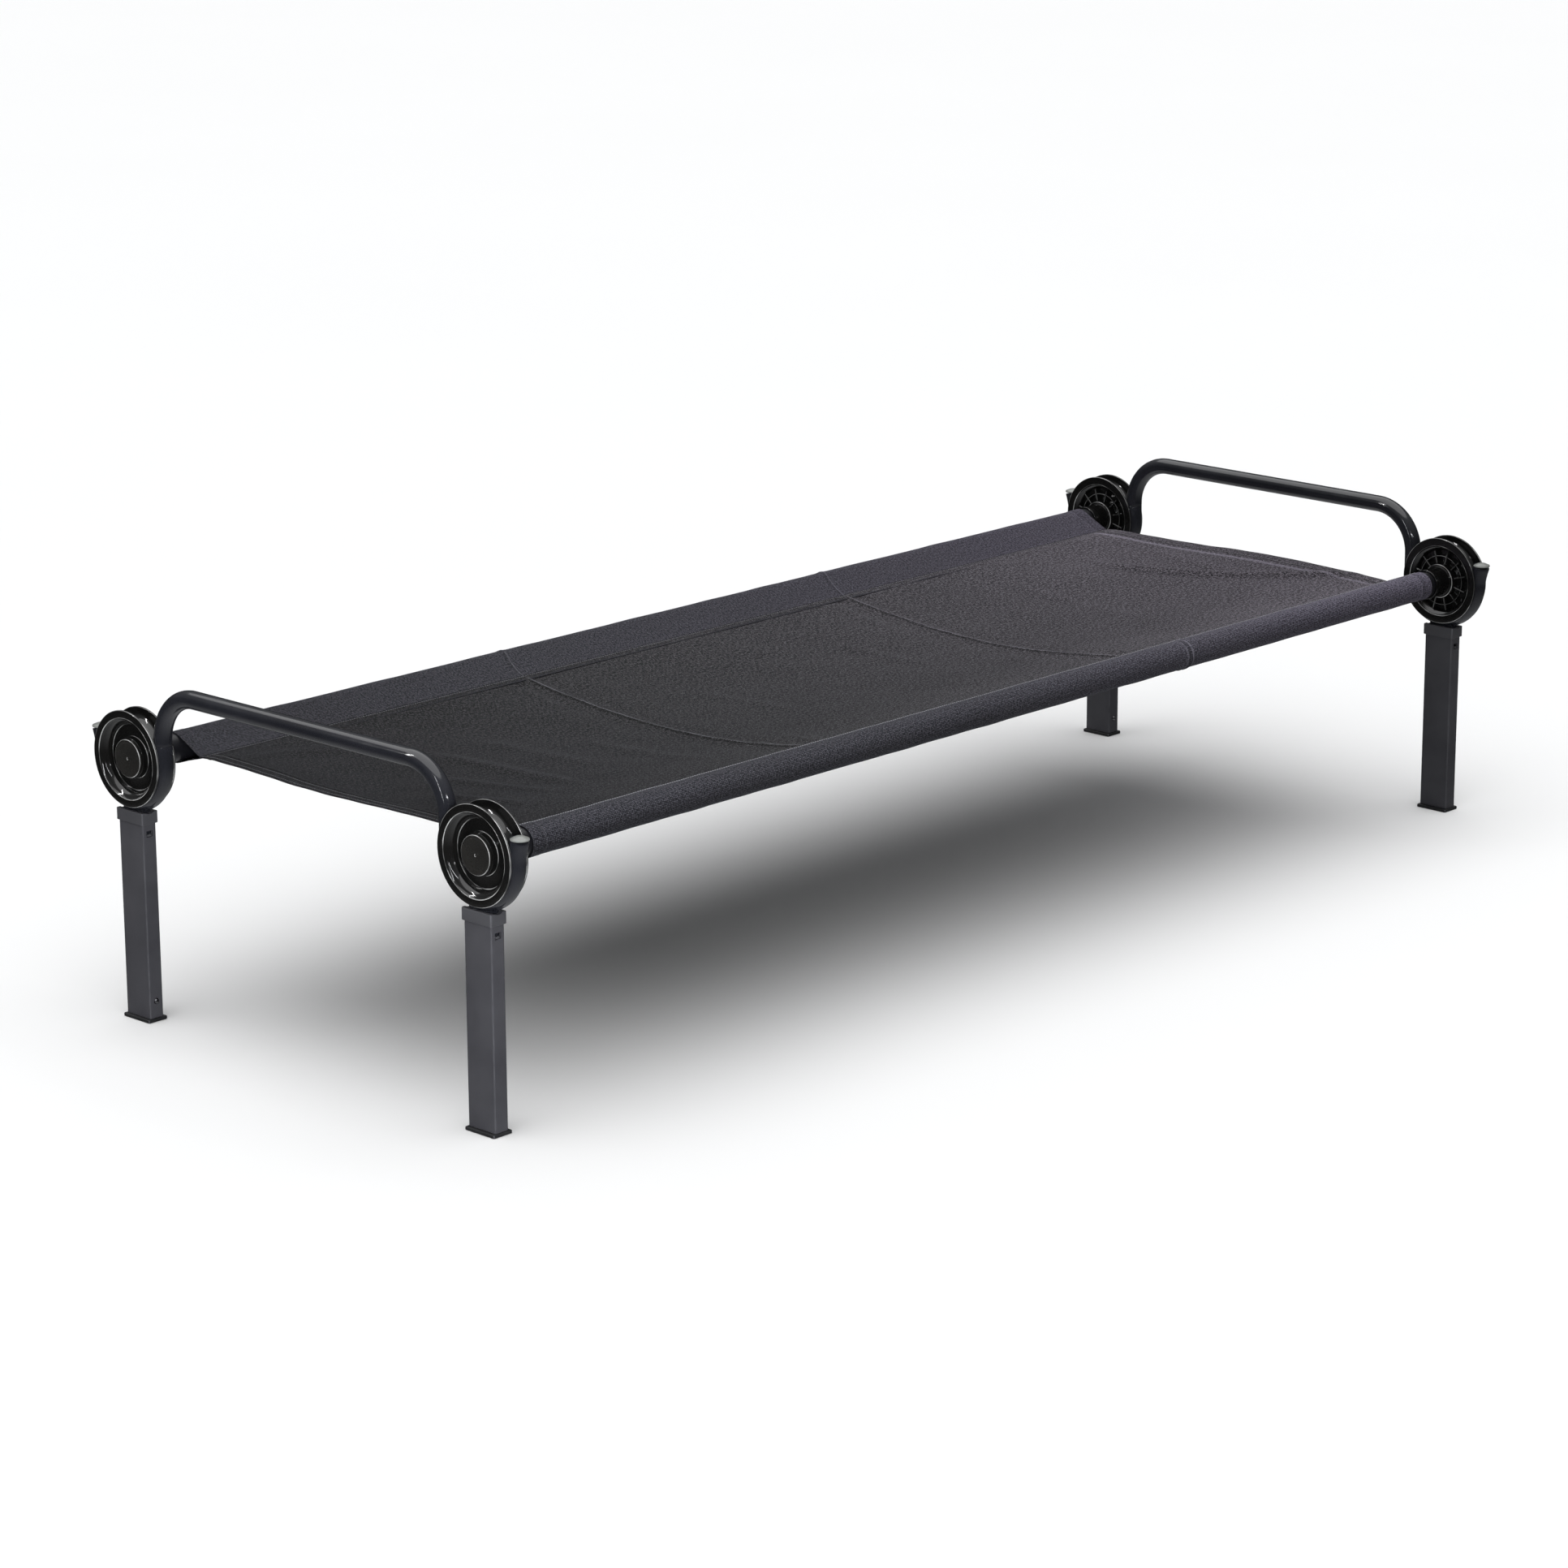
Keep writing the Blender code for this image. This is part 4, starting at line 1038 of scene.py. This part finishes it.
# start, end, height, width, sharpness, sideways bow
SOFT_FOLDS = (
    ((-0.696, 0.13), (-0.660, -0.17), 0.0036, 0.017, 0.1, 0.005),
    ((-0.770, 0.02), (-0.718, -0.17), 0.0032, 0.015, 0.1, -0.003),
    ((-0.850, -0.05), (-0.795, -0.21), 0.0024, 0.014, 0.1, 0.004),
    ((-0.600, 0.14), (-0.570, -0.10), 0.0018, 0.020, 0.0, 0.008),
    ((-0.480, 0.05), (-0.450, -0.20), 0.0016, 0.017, 0.0, -0.006),
    ((-0.930, 0.24), (-0.760, 0.19), 0.0018, 0.016, 0.0, 0.006),
    ((0.985, -0.25), (0.780, 0.20), 0.0060, 0.012, 0.2, 0.050),
    ((0.900, 0.16), (0.860, -0.08), 0.0018, 0.018, 0.0, -0.006),
    ((0.600, 0.20), (0.570, -0.12), 0.0012, 0.018, 0.0, 0.010),
    ((-0.320, -0.27), (-0.290, -0.17), 0.0020, 0.0065, 0.2, 0.004),
    ((-0.385, 0.26), (-0.400, 0.15), 0.0015, 0.0090, 0.1, 0.004),
    ((0.350, -0.27), (0.385, -0.17), 0.0020, 0.0065, 0.2, 0.004),
    ((0.290, 0.26), (0.270, 0.15), 0.0015, 0.0090, 0.1, -0.003),
    ((-0.190, 0.10), (-0.160, -0.08), 0.0014, 0.014, 0.0, 0.006),
    ((0.150, 0.16), (0.170, -0.06), 0.0010, 0.016, 0.0, 0.005),
)


def section_lines():
    """Half of the sling's section, front side: (inboard of the rail axis, above it).

    From the flap's edge under the deck, back to the seam, under and round the rail,
    and over it to the seam again.
    """
    reach = math.hypot(SEAM_IN, SEAM_DROP)
    tilt = math.atan2(SEAM_DROP, SEAM_IN)
    open_angle = math.acos(SLEEVE_R / reach)
    low, high = -tilt - open_angle, -tilt + open_angle
    touch_low, touch_high = (
        SLEEVE_R * np.array((math.cos(a), math.sin(a))) for a in (low, high)
    )
    points = []
    for t in np.linspace(1, 0, FLAP_ROWS, endpoint=False):
        points.append((SEAM_IN + FLAP_IN * t, -SEAM_DROP - FLAP_DROP - FLAP_HANG * t))
    seam_low = np.array((SEAM_IN, -SEAM_DROP - FLAP_DROP))
    for t in np.linspace(0, 1, LINE_ROWS, endpoint=False):
        points.append(tuple(seam_low + (touch_low - seam_low) * t))
    turn = (math.degrees(low), math.degrees(high) - 360)
    points += arc((0.0, 0.0), SLEEVE_R, *turn, WRAP_ROWS - 1)
    seam_high = np.array((SEAM_IN, -SEAM_DROP))
    run = np.linalg.norm(seam_high - touch_high)
    for t in 1 - np.linspace(1, 0, LINE_ROWS)[1:] ** LINE_CROWDING:
        left = run * (1 - t)
        welt = WELT * math.sin(math.pi * min(left / WELT_WIDTH, 1.0))
        point = touch_high + (seam_high - touch_high) * t
        points.append((point[0], point[1] + welt))
    return np.array(points)


def smooth_step(t):
    t = np.clip(t, 0.0, 1.0)
    return t * t * (3 - 2 * t)


def ridge(distance, width, sharp=0.0):
    """A fold's cross-section: a cusp when sharp is 1, a bell when it is 0."""
    cusp = np.exp(-np.abs(distance) / width)
    bell = np.exp(-(distance / width) ** 2)
    return sharp * cusp + (1 - sharp) * bell


def fold(x, y, start, end, height, width, sharp=0.0, bow=0.0):
    """Height of a fold that runs from start to end and fades out at both."""
    start, end = np.array(start), np.array(end)
    run = end - start
    length = np.linalg.norm(run)
    run = run / length
    along = ((x - start[0]) * run[0] + (y - start[1]) * run[1]) / length
    across = (x - start[0]) * -run[1] + (y - start[1]) * run[0]
    across = across - bow * (1 - (2 * along - 1) ** 2)
    fade = smooth_step(along / FOLD_FADE) * smooth_step((1 - along) / FOLD_FADE)
    return height * fade * ridge(across, width, sharp)


def soft_waves(x, y, seed, scale, count):
    """Smooth pseudo-random undulation between about -1 and 1."""
    draws = np.random.default_rng(seed)
    total = np.zeros_like(x)
    for _ in range(count):
        angle = draws.uniform(0, 2 * math.pi)
        size = scale * draws.uniform(0.6, 1.7)
        phase = draws.uniform(0, 2 * math.pi)
        total += np.sin((x * math.cos(angle) + y * math.sin(angle)) / size + phase)
    return total / math.sqrt(count)


def from_end(x):
    return np.minimum(x - FABRIC_NEAR_X, FABRIC_FAR_X - x)


def deck_height(x, y):
    """Height of the deck's middle surface above the seam line, between the seams."""
    v = y / SEAM_Y
    u = (2 * x - FABRIC_FAR_X - FABRIC_NEAR_X) / (FABRIC_FAR_X - FABRIC_NEAR_X)
    inside = np.clip(1 - v * v, 0, 1)
    height = -SAG * (1 - np.abs(u) ** SAG_POWER) * inside
    height -= END_DIP * smooth_step(-u) * inside
    height += (END_RISE - END_TILT * v) * smooth_step(2 * u - 1) * np.sqrt(inside)
    height += HEM_STEP * smooth_step((HEM - from_end(x)) / 0.003)
    by_hem = HEM_PUCKER * ridge(from_end(x) - HEM - 0.004, 0.005, 0.3)
    height += by_hem * smooth_step((1 - np.abs(v)) / 0.2)
    soft = smooth_step((1 - np.abs(v)) / SEAM_FADE)
    for place, tall in PACKING_FOLDS:
        bent = x - place - PACKING_SLANT * v
        height += tall * (0.35 + 0.65 * soft) * ridge(bent, 0.0050, 0.85)
        height -= 0.45 * tall * soft * ridge(bent - 0.022, 0.013)
        height -= 0.35 * tall * soft * ridge(bent + 0.026, 0.015)
    for shape in SOFT_FOLDS:
        height += soft * fold(x, y, *shape)
    for tall, *wave in DECK_WAVES:
        height += soft * tall * soft_waves(x, y, *wave)
    return height


def column_places():
    """Places of the grid's columns along X, closer together by creases and hems."""
    fine = np.linspace(FABRIC_NEAR_X, FABRIC_FAR_X, FINE_STEPS)
    density = np.ones_like(fine)
    for place in [p for p, _ in PACKING_FOLDS] + [RAIL_JOINT_X]:
        density += 5.0 * ridge(fine - place, 0.011)
    for place in HEM_XS:
        density += 3.0 * ridge(fine - place, 0.012)
    filled = np.concatenate([[0.0], np.cumsum((density[1:] + density[:-1]) / 2)])
    return np.interp(np.linspace(0, filled[-1], COLUMNS), filled, fine)


def run_lengths(points):
    """Length along a line of points, up to each of them."""
    gaps = np.linalg.norm(np.diff(points, axis=0), axis=1)
    return np.concatenate([[0.0], np.cumsum(gaps)])


def sling_points():
    """Middle surface as an array [column, row, xyz], and each row's place in the cut."""
    front = section_lines() - (AXIS_Y, 0.0)
    back = front[::-1] * (-1, 1)
    steps = np.linspace(-1, 1, PANEL_ROWS + 1)[1:-1]
    rows_y = SEAM_Y * np.sin(steps * ROW_CROWDING) / math.sin(ROW_CROWDING)
    flat_rows = np.stack([rows_y, np.full_like(rows_y, -SEAM_DROP)], axis=1)
    section = np.concatenate([front, flat_rows, back])
    grid = np.zeros((COLUMNS, len(section), 3))
    grid[:, :, 0] = column_places()[:, None]
    grid[:, :, 1:] = section
    count = len(front)
    panel = slice(count, -count)
    grid[:, panel, 2] += deck_height(grid[:, panel, 0], grid[:, panel, 1])
    for rows, toward in ((slice(0, count), 1), (slice(-count, None), -1)):
        sleeve_shape(grid, rows, toward, count)
    grid[:, :, 2] += AXIS_Z
    return grid, run_lengths(section)


def panel_crease_light(x, y):
    """Painted highlight (up to 1) and painted shade (down to -1) along the cloth's creases."""
    v = y / SEAM_Y
    soft = 0.35 + 0.65 * smooth_step((1 - np.abs(v)) / SEAM_FADE)
    painted_light = np.zeros_like(x)
    for place, _ in PACKING_FOLDS:
        bent = x - place - PACKING_SLANT * v
        patchy = 0.75 + 0.25 * np.sin(y * 61.0 + place * 9.0) * np.sin(y * 23.0)
        painted_light += 0.70 * soft * patchy * ridge(bent, 0.0011, 0.3)
        painted_light -= 0.85 * soft * ridge(bent + 0.0034, 0.0020)
    painted_light += 0.7 * ridge(SEAM_Y + y, 0.0016) * (0.8 + 0.2 * np.sin(x * 140.0))
    painted_light -= 0.35 * ridge(SEAM_Y - y, 0.0030)
    for place in HEM_XS:
        painted_light -= 0.45 * ridge(x - place, 0.0035)
    painted_light += 0.45 * ridge(x - HEM_XS[1] + 0.011, 0.0030)
    for start, end, tall, width, *form in SOFT_FOLDS:
        shape = (start, end, tall, width * 0.9, *form)
        painted_light += FOLD_LIT * fold(x, y, *shape)
        painted_light -= FOLD_SHADED * fold(x + 1.2 * width, y, *shape)
    return painted_light


def packing_line(x, place, inboard):
    """Distance along X from a packing fold where it crosses the back sleeve."""
    over = np.clip(1 - inboard / SEAM_IN, 0.0, 1.0)
    return x - place - PACKING_SLANT - PACKING_LEAN * over ** 2


# Painted highlight and painted shade along the sleeves' creases, hems and seam
def sleeve_crease_light(x, inboard, toward):
    painted_light = np.zeros_like(x)
    if toward < 0:
        for place, _ in PACKING_FOLDS:
            bent = packing_line(x, place, inboard)
            painted_light += 0.65 * ridge(bent, 0.0011, 0.3) - 0.9 * ridge(bent + 0.0034, 0.0022)
    else:
        around = x - RAIL_JOINT_X
        painted_light += 0.45 * ridge(around, 0.0015, 0.3)
        painted_light += 0.30 * ridge(around + JOINT_DIMPLE, 0.0015, 0.3)
        painted_light -= 0.65 * ridge(around + 0.0050, 0.0032)
        painted_light += 0.5 * ridge(SEAM_IN - inboard - 0.0030, 0.0016)
    for place, share in zip(HEM_XS, (0.3, 1.0)):
        beside = x - place - 0.005 * np.sign(place)
        painted_light += share * (0.3 * ridge(x - place, 0.0015, 0.3) - 0.5 * ridge(beside, 0.0035))
    return painted_light


def crease_light_values(grid):
    """The painted crease highlight and shade of every grid point."""
    half = len(section_lines())
    x, y = grid[:, :, 0], grid[:, :, 1]
    values = panel_crease_light(x, y)
    values[:, :half] = sleeve_crease_light(x[:, :half], y[:, :half] + AXIS_Y, 1)
    values[:, -half:] = 0.5 * sleeve_crease_light(x[:, -half:], AXIS_Y - y[:, -half:], -1)
    return values


def sleeve_shape(grid, rows, toward, count):
    """Slant the ends, and crease the cloth round the rail."""
    part = grid[:, rows]
    x = part[:, :, 0]
    under = 1 - smooth_step(np.linspace(0, 1, count)[::toward] / 0.55)
    near = smooth_step((-x - 0.84) / SLANT_RUN)
    x += END_SLANT * under * (near - smooth_step((x - 0.85) / SLANT_RUN))
    centre_y = -AXIS_Y * toward
    dy = part[:, :, 1] - centre_y
    dz = part[:, :, 2]
    radius = np.hypot(dy, dz)
    angle = np.arctan2(dz, dy * toward)
    free = smooth_step((radius - SLEEVE_R) / 0.016)
    ripple = FINE_RIPPLE * soft_waves(x, angle * 0.05, 21 if toward > 0 else 22, 0.016, 8)
    ripple += SLACK_RIPPLE * free * soft_waves(x, angle * 0.05, 23, 0.030, 6)
    if toward < 0:
        for place, _ in PACKING_FOLDS:
            ripple += PACKING_RIDGE * ridge(packing_line(x, place, -dy), 0.005, 0.8)
    else:
        for back, tall, width in JOINT_RIDGES:
            around = x - RAIL_JOINT_X + back - 0.004 * np.sin(angle)
            ripple += tall * ridge(around, width, 0.5)
    ripple += SLEEVE_HEM_STEP * smooth_step((HEM - from_end(x)) / 0.003)
    seam = smooth_step((SEAM_IN - dy * toward) / 0.012)
    scale = 1 + seam * np.maximum(ripple, -0.0001) / np.maximum(radius, 1e-6)
    part[:, :, 1] = centre_y + dy * scale
    part[:, :, 2] = dz * scale


def normals_of(grid):
    normal = np.cross(np.gradient(grid, axis=0), np.gradient(grid, axis=1))
    return normal / np.linalg.norm(normal, axis=2, keepdims=True)


def cloth_mesh(grid, along):
    """Closed two-faced cloth about the grid, with its own metres as UV."""
    normal = normals_of(grid)
    columns, rows = grid.shape[:2]
    upper = grid + normal * CLOTH_T / 2
    lower = grid - normal * CLOTH_T / 2
    verts = np.concatenate([upper.reshape(-1, 3), lower.reshape(-1, 3)])
    index = np.arange(columns * rows).reshape(columns, rows)
    base = columns * rows
    a, b = index[:-1, :-1], index[1:, :-1]
    c, d = index[1:, 1:], index[:-1, 1:]
    top = np.stack([a, b, c, d], axis=2).reshape(-1, 4)
    bottom = top[:, ::-1] + base
    rim = []
    for line in (index[0, :], index[-1, ::-1], index[::-1, 0], index[:, -1]):
        for i, j in zip(line, line[1:]):
            rim.append((i, j, j + base, i + base))
    faces = np.concatenate([top, bottom, np.array(rim)])
    lengths = np.repeat(grid[:, rows // 2, 0], rows)
    uv = np.stack([lengths, np.tile(along, columns)], axis=1)
    return verts, faces, np.concatenate([uv, uv])


def build_sling():
    grid, along = sling_points()
    verts, faces, uv = cloth_mesh(grid, along)
    middle_v = float(along[-1]) / 2
    seam_v = middle_v - float(along[len(section_lines()) - 1])
    fabric = woven("deck_fabric", middle_v, seam_v)
    sling = new_piece("sling", verts.tolist(), faces.tolist(), fabric, 50.0)
    mesh = sling.data
    corner = np.zeros(len(mesh.loops), np.int32)
    mesh.loops.foreach_get("vertex_index", corner)
    layer = mesh.uv_layers.new(name="cloth")
    layer.data.foreach_set("uv", uv[corner].astype(np.float32).ravel())
    # crease holds painted highlight (above 0) and painted shade (below 0)
    crease = mesh.attributes.new("crease", "FLOAT", "POINT")
    crease.data.foreach_set("value", np.tile(crease_light_values(grid).ravel(), 2).astype(np.float32))
    finish_piece(sling, "deck", "deck_fabric", "deck_panel", "front_sleeve", "back_sleeve")
    return sling, grid


def stitches(points, normals):
    """Small capsules along a line of points, just proud of the cloth."""
    run = run_lengths(points)
    turns = ring_angles(STITCH_SIDES)

    def at(place, line):
        return np.array([np.interp(place, run, line[:, k]) for k in range(3)])

    parts = []
    for place in np.arange(STITCH_PITCH, run[-1] - STITCH_PITCH, STITCH_PITCH):
        up = at(place, normals)
        lifted = up * (CLOTH_T / 2 + STITCH_R * STITCH_PROUD)
        a = at(place - STITCH_LENGTH / 2, points) + lifted
        b = at(place + STITCH_LENGTH / 2, points) + lifted
        side = np.cross((b - a) / np.linalg.norm(b - a), up)
        ring = STITCH_R * (np.outer(np.cos(turns), side) + np.outer(np.sin(turns), up))
        rings = [a + (b - a) * share + ring * size for share, size in STITCH_ROUNDS]
        parts.append(skin(rings, a, b))
    return joined(*parts)


def build_stitching(grid):
    normal = normals_of(grid)
    half = len(section_lines())
    front, back = half - 1, grid.shape[1] - half
    crest = front - LINE_ROWS
    lines = [stitches(grid[:, back], normal[:, back])]
    x = grid[:, grid.shape[1] // 2, 0]
    hems = (
        HEM_XS[0] - HEM_STITCH, FABRIC_NEAR_X + END_STITCH,
        HEM_XS[1] + HEM_STITCH, FABRIC_FAR_X - END_STITCH,
    )
    rows = slice(front, back + 1)
    for place in hems:
        column = int(np.argmin(np.abs(x - place)))
        lines.append(stitches(grid[column, rows], normal[column, rows]))
    seam = stitches(grid[:, crest], normal[:, crest])
    for name, mesh, material in (
        ("front_seam_stitching", seam, SEAM_THREAD), ("hem_stitching", joined(*lines), HEM_THREAD),
    ):
        finish_piece(new_piece(name, *mesh, material, 60.0), "deck", "deck_fabric")


# --- studio

FLOOR_REACH = 40.0
FLOOR_DROP = 0.0002
# height (0 straight down, 1 straight up), tone
SKY_BANDS = ((0.0, 0.75), (0.22, 0.30), (0.36, 0.03), (0.56, 0.03), (0.72, 0.22), (1.0, 0.62))
# name, lean about X and Y, energy, angle, on the floor alone
SUNS = (
    ("overhead", (-9.0, 0.0), 2.55, 84, False),
    ("floor_sky", (9.0, -15.0), 2.68, 90, True),
)
COOL = (0.95, 0.97, 1.0)
WHITE = (1.0, 1.0, 1.0)
# name, place, target, size, power, colour, spread, seen in reflections
LAMPS = (
    ("near_strip", (-4.0, -1.3, 1.9), (-1.0, -0.1, 0.37), (0.07, 2.4), 25.0, COOL, 180, True),
    ("front_strip", (-2.2, -4.3, 2.3), (-0.6, -0.3, 0.36), (1.2, 0.07), 26.0, COOL, 180, True),
    ("hoop_key", (-2.9, 1.9, 2.6), (-0.9, -0.1, 0.45), (0.06, 1.5), 34.0, WHITE, 180, True),
    ("far_key", (1.9, 1.0, 1.55), (0.9, 0.1, 0.36), (1.4, 0.8), 34.0, WHITE, 180, False),
    ("front_fill", (-2.9, -2.9, 0.9), (-1.02, -0.34, 0.18), (0.9, 0.9), 13.0, COOL, 50, False),
)


def build_floor():
    bm = bmesh.new()
    bmesh.ops.create_grid(bm, x_segments=8, y_segments=8, size=FLOOR_REACH)
    mesh = bpy.data.meshes.new("floor")
    bm.to_mesh(mesh)
    bm.free()
    s = Surface("studio_floor", Roughness=0.6, Specular_IOR_Level=0.2)
    tone = s.noise(s.place(), 0.8, 2.0, 0.5)
    s.colour(s.blend(tone, (0.885, 0.885, 0.885), (0.90, 0.90, 0.90)))
    mesh.materials.append(s.material)
    floor = shown("floor", mesh)
    floor.location.z = -FLOOR_DROP
    floor.visible_glossy = False
    return floor


def light_on(lamp, floor, only):
    """Keeps a lamp to the floor alone, or off it."""
    group = bpy.data.collections.new(f"{lamp.name}_floor")
    group.objects.link(floor)
    group.collection_objects[0].light_linking.link_state = "INCLUDE" if only else "EXCLUDE"
    lamp.light_linking.receiver_collection = group


def area_light(floor, name, at, target, size, power, colour, spread, glossy):
    light = bpy.data.lights.new(name, "AREA")
    light.shape = "RECTANGLE"
    light.size, light.size_y = size
    light.energy = power
    light.color = colour
    light.spread = math.radians(spread)
    lamp = shown(name, light)
    lamp.location = at
    lamp.visible_camera = False
    lamp.visible_glossy = glossy
    lamp.rotation_mode = "QUATERNION"
    lamp.rotation_quaternion = (Vector(target) - Vector(at)).to_track_quat("-Z", "Y")
    light_on(lamp, floor, False)


def build_world():
    """Grey sky in bands by height, for the reflections."""
    world = bpy.data.worlds.new("studio")
    bpy.context.scene.world = world
    world.use_nodes = True
    tree = world.node_tree
    direction = add_node(tree, "ShaderNodeTexCoord").outputs["Generated"]
    up = add_node(tree, "ShaderNodeSeparateXYZ", {0: direction}).outputs["Z"]
    height = add_node(tree, "ShaderNodeMapRange", {"Value": up, "From Min": -1.0})
    bands = add_node(tree, "ShaderNodeValToRGB", {"Fac": height.outputs["Result"]})
    elements = bands.color_ramp.elements
    for index, (position, tone) in enumerate(SKY_BANDS):
        stop = elements[index] if index < 2 else elements.new(position)
        stop.position = position
        stop.color = (tone * 0.97, tone * 0.985, tone, 1.0)
    tree.links.new(bands.outputs["Color"], tree.nodes["Background"].inputs["Color"])


def build_studio(floor):
    build_world()
    for name, lean, energy, angle, only in SUNS:
        sky = bpy.data.lights.new(name, "SUN")
        sky.energy = energy
        sky.angle = math.radians(angle)
        lamp = shown(name, sky)
        lamp.rotation_euler = (math.radians(lean[0]), math.radians(lean[1]), 0.0)
        light_on(lamp, floor, only)
    for lamp in LAMPS:
        area_light(floor, *lamp)
    bpy.context.scene.view_settings.view_transform = "Standard"


def build_camera():
    yaw, pitch, roll = CAMERA_YAW, CAMERA_PITCH, CAMERA_ROLL
    ahead = Vector((
        math.sin(yaw) * math.cos(pitch), math.cos(yaw) * math.cos(pitch), -math.sin(pitch)
    ))
    level = Vector((math.cos(yaw), -math.sin(yaw), 0.0))
    above = level.cross(ahead)
    right = level * math.cos(roll) + above * math.sin(roll)
    up = above * math.cos(roll) - level * math.sin(roll)
    data = bpy.data.cameras.new("camera")
    data.lens = CAMERA_LENS
    data.sensor_width = SENSOR
    data.clip_end = 200.0
    camera = shown("camera", data)
    axes = Matrix((right, up, -ahead)).transposed()
    camera.matrix_world = Matrix.Translation(CAMERA_AT) @ axes.to_4x4()
    bpy.context.scene.camera = camera


build_camera()
build_frames()
build_legs()
build_rails()
sling, sling_grid = build_sling()
build_stitching(sling_grid)
build_studio(build_floor())
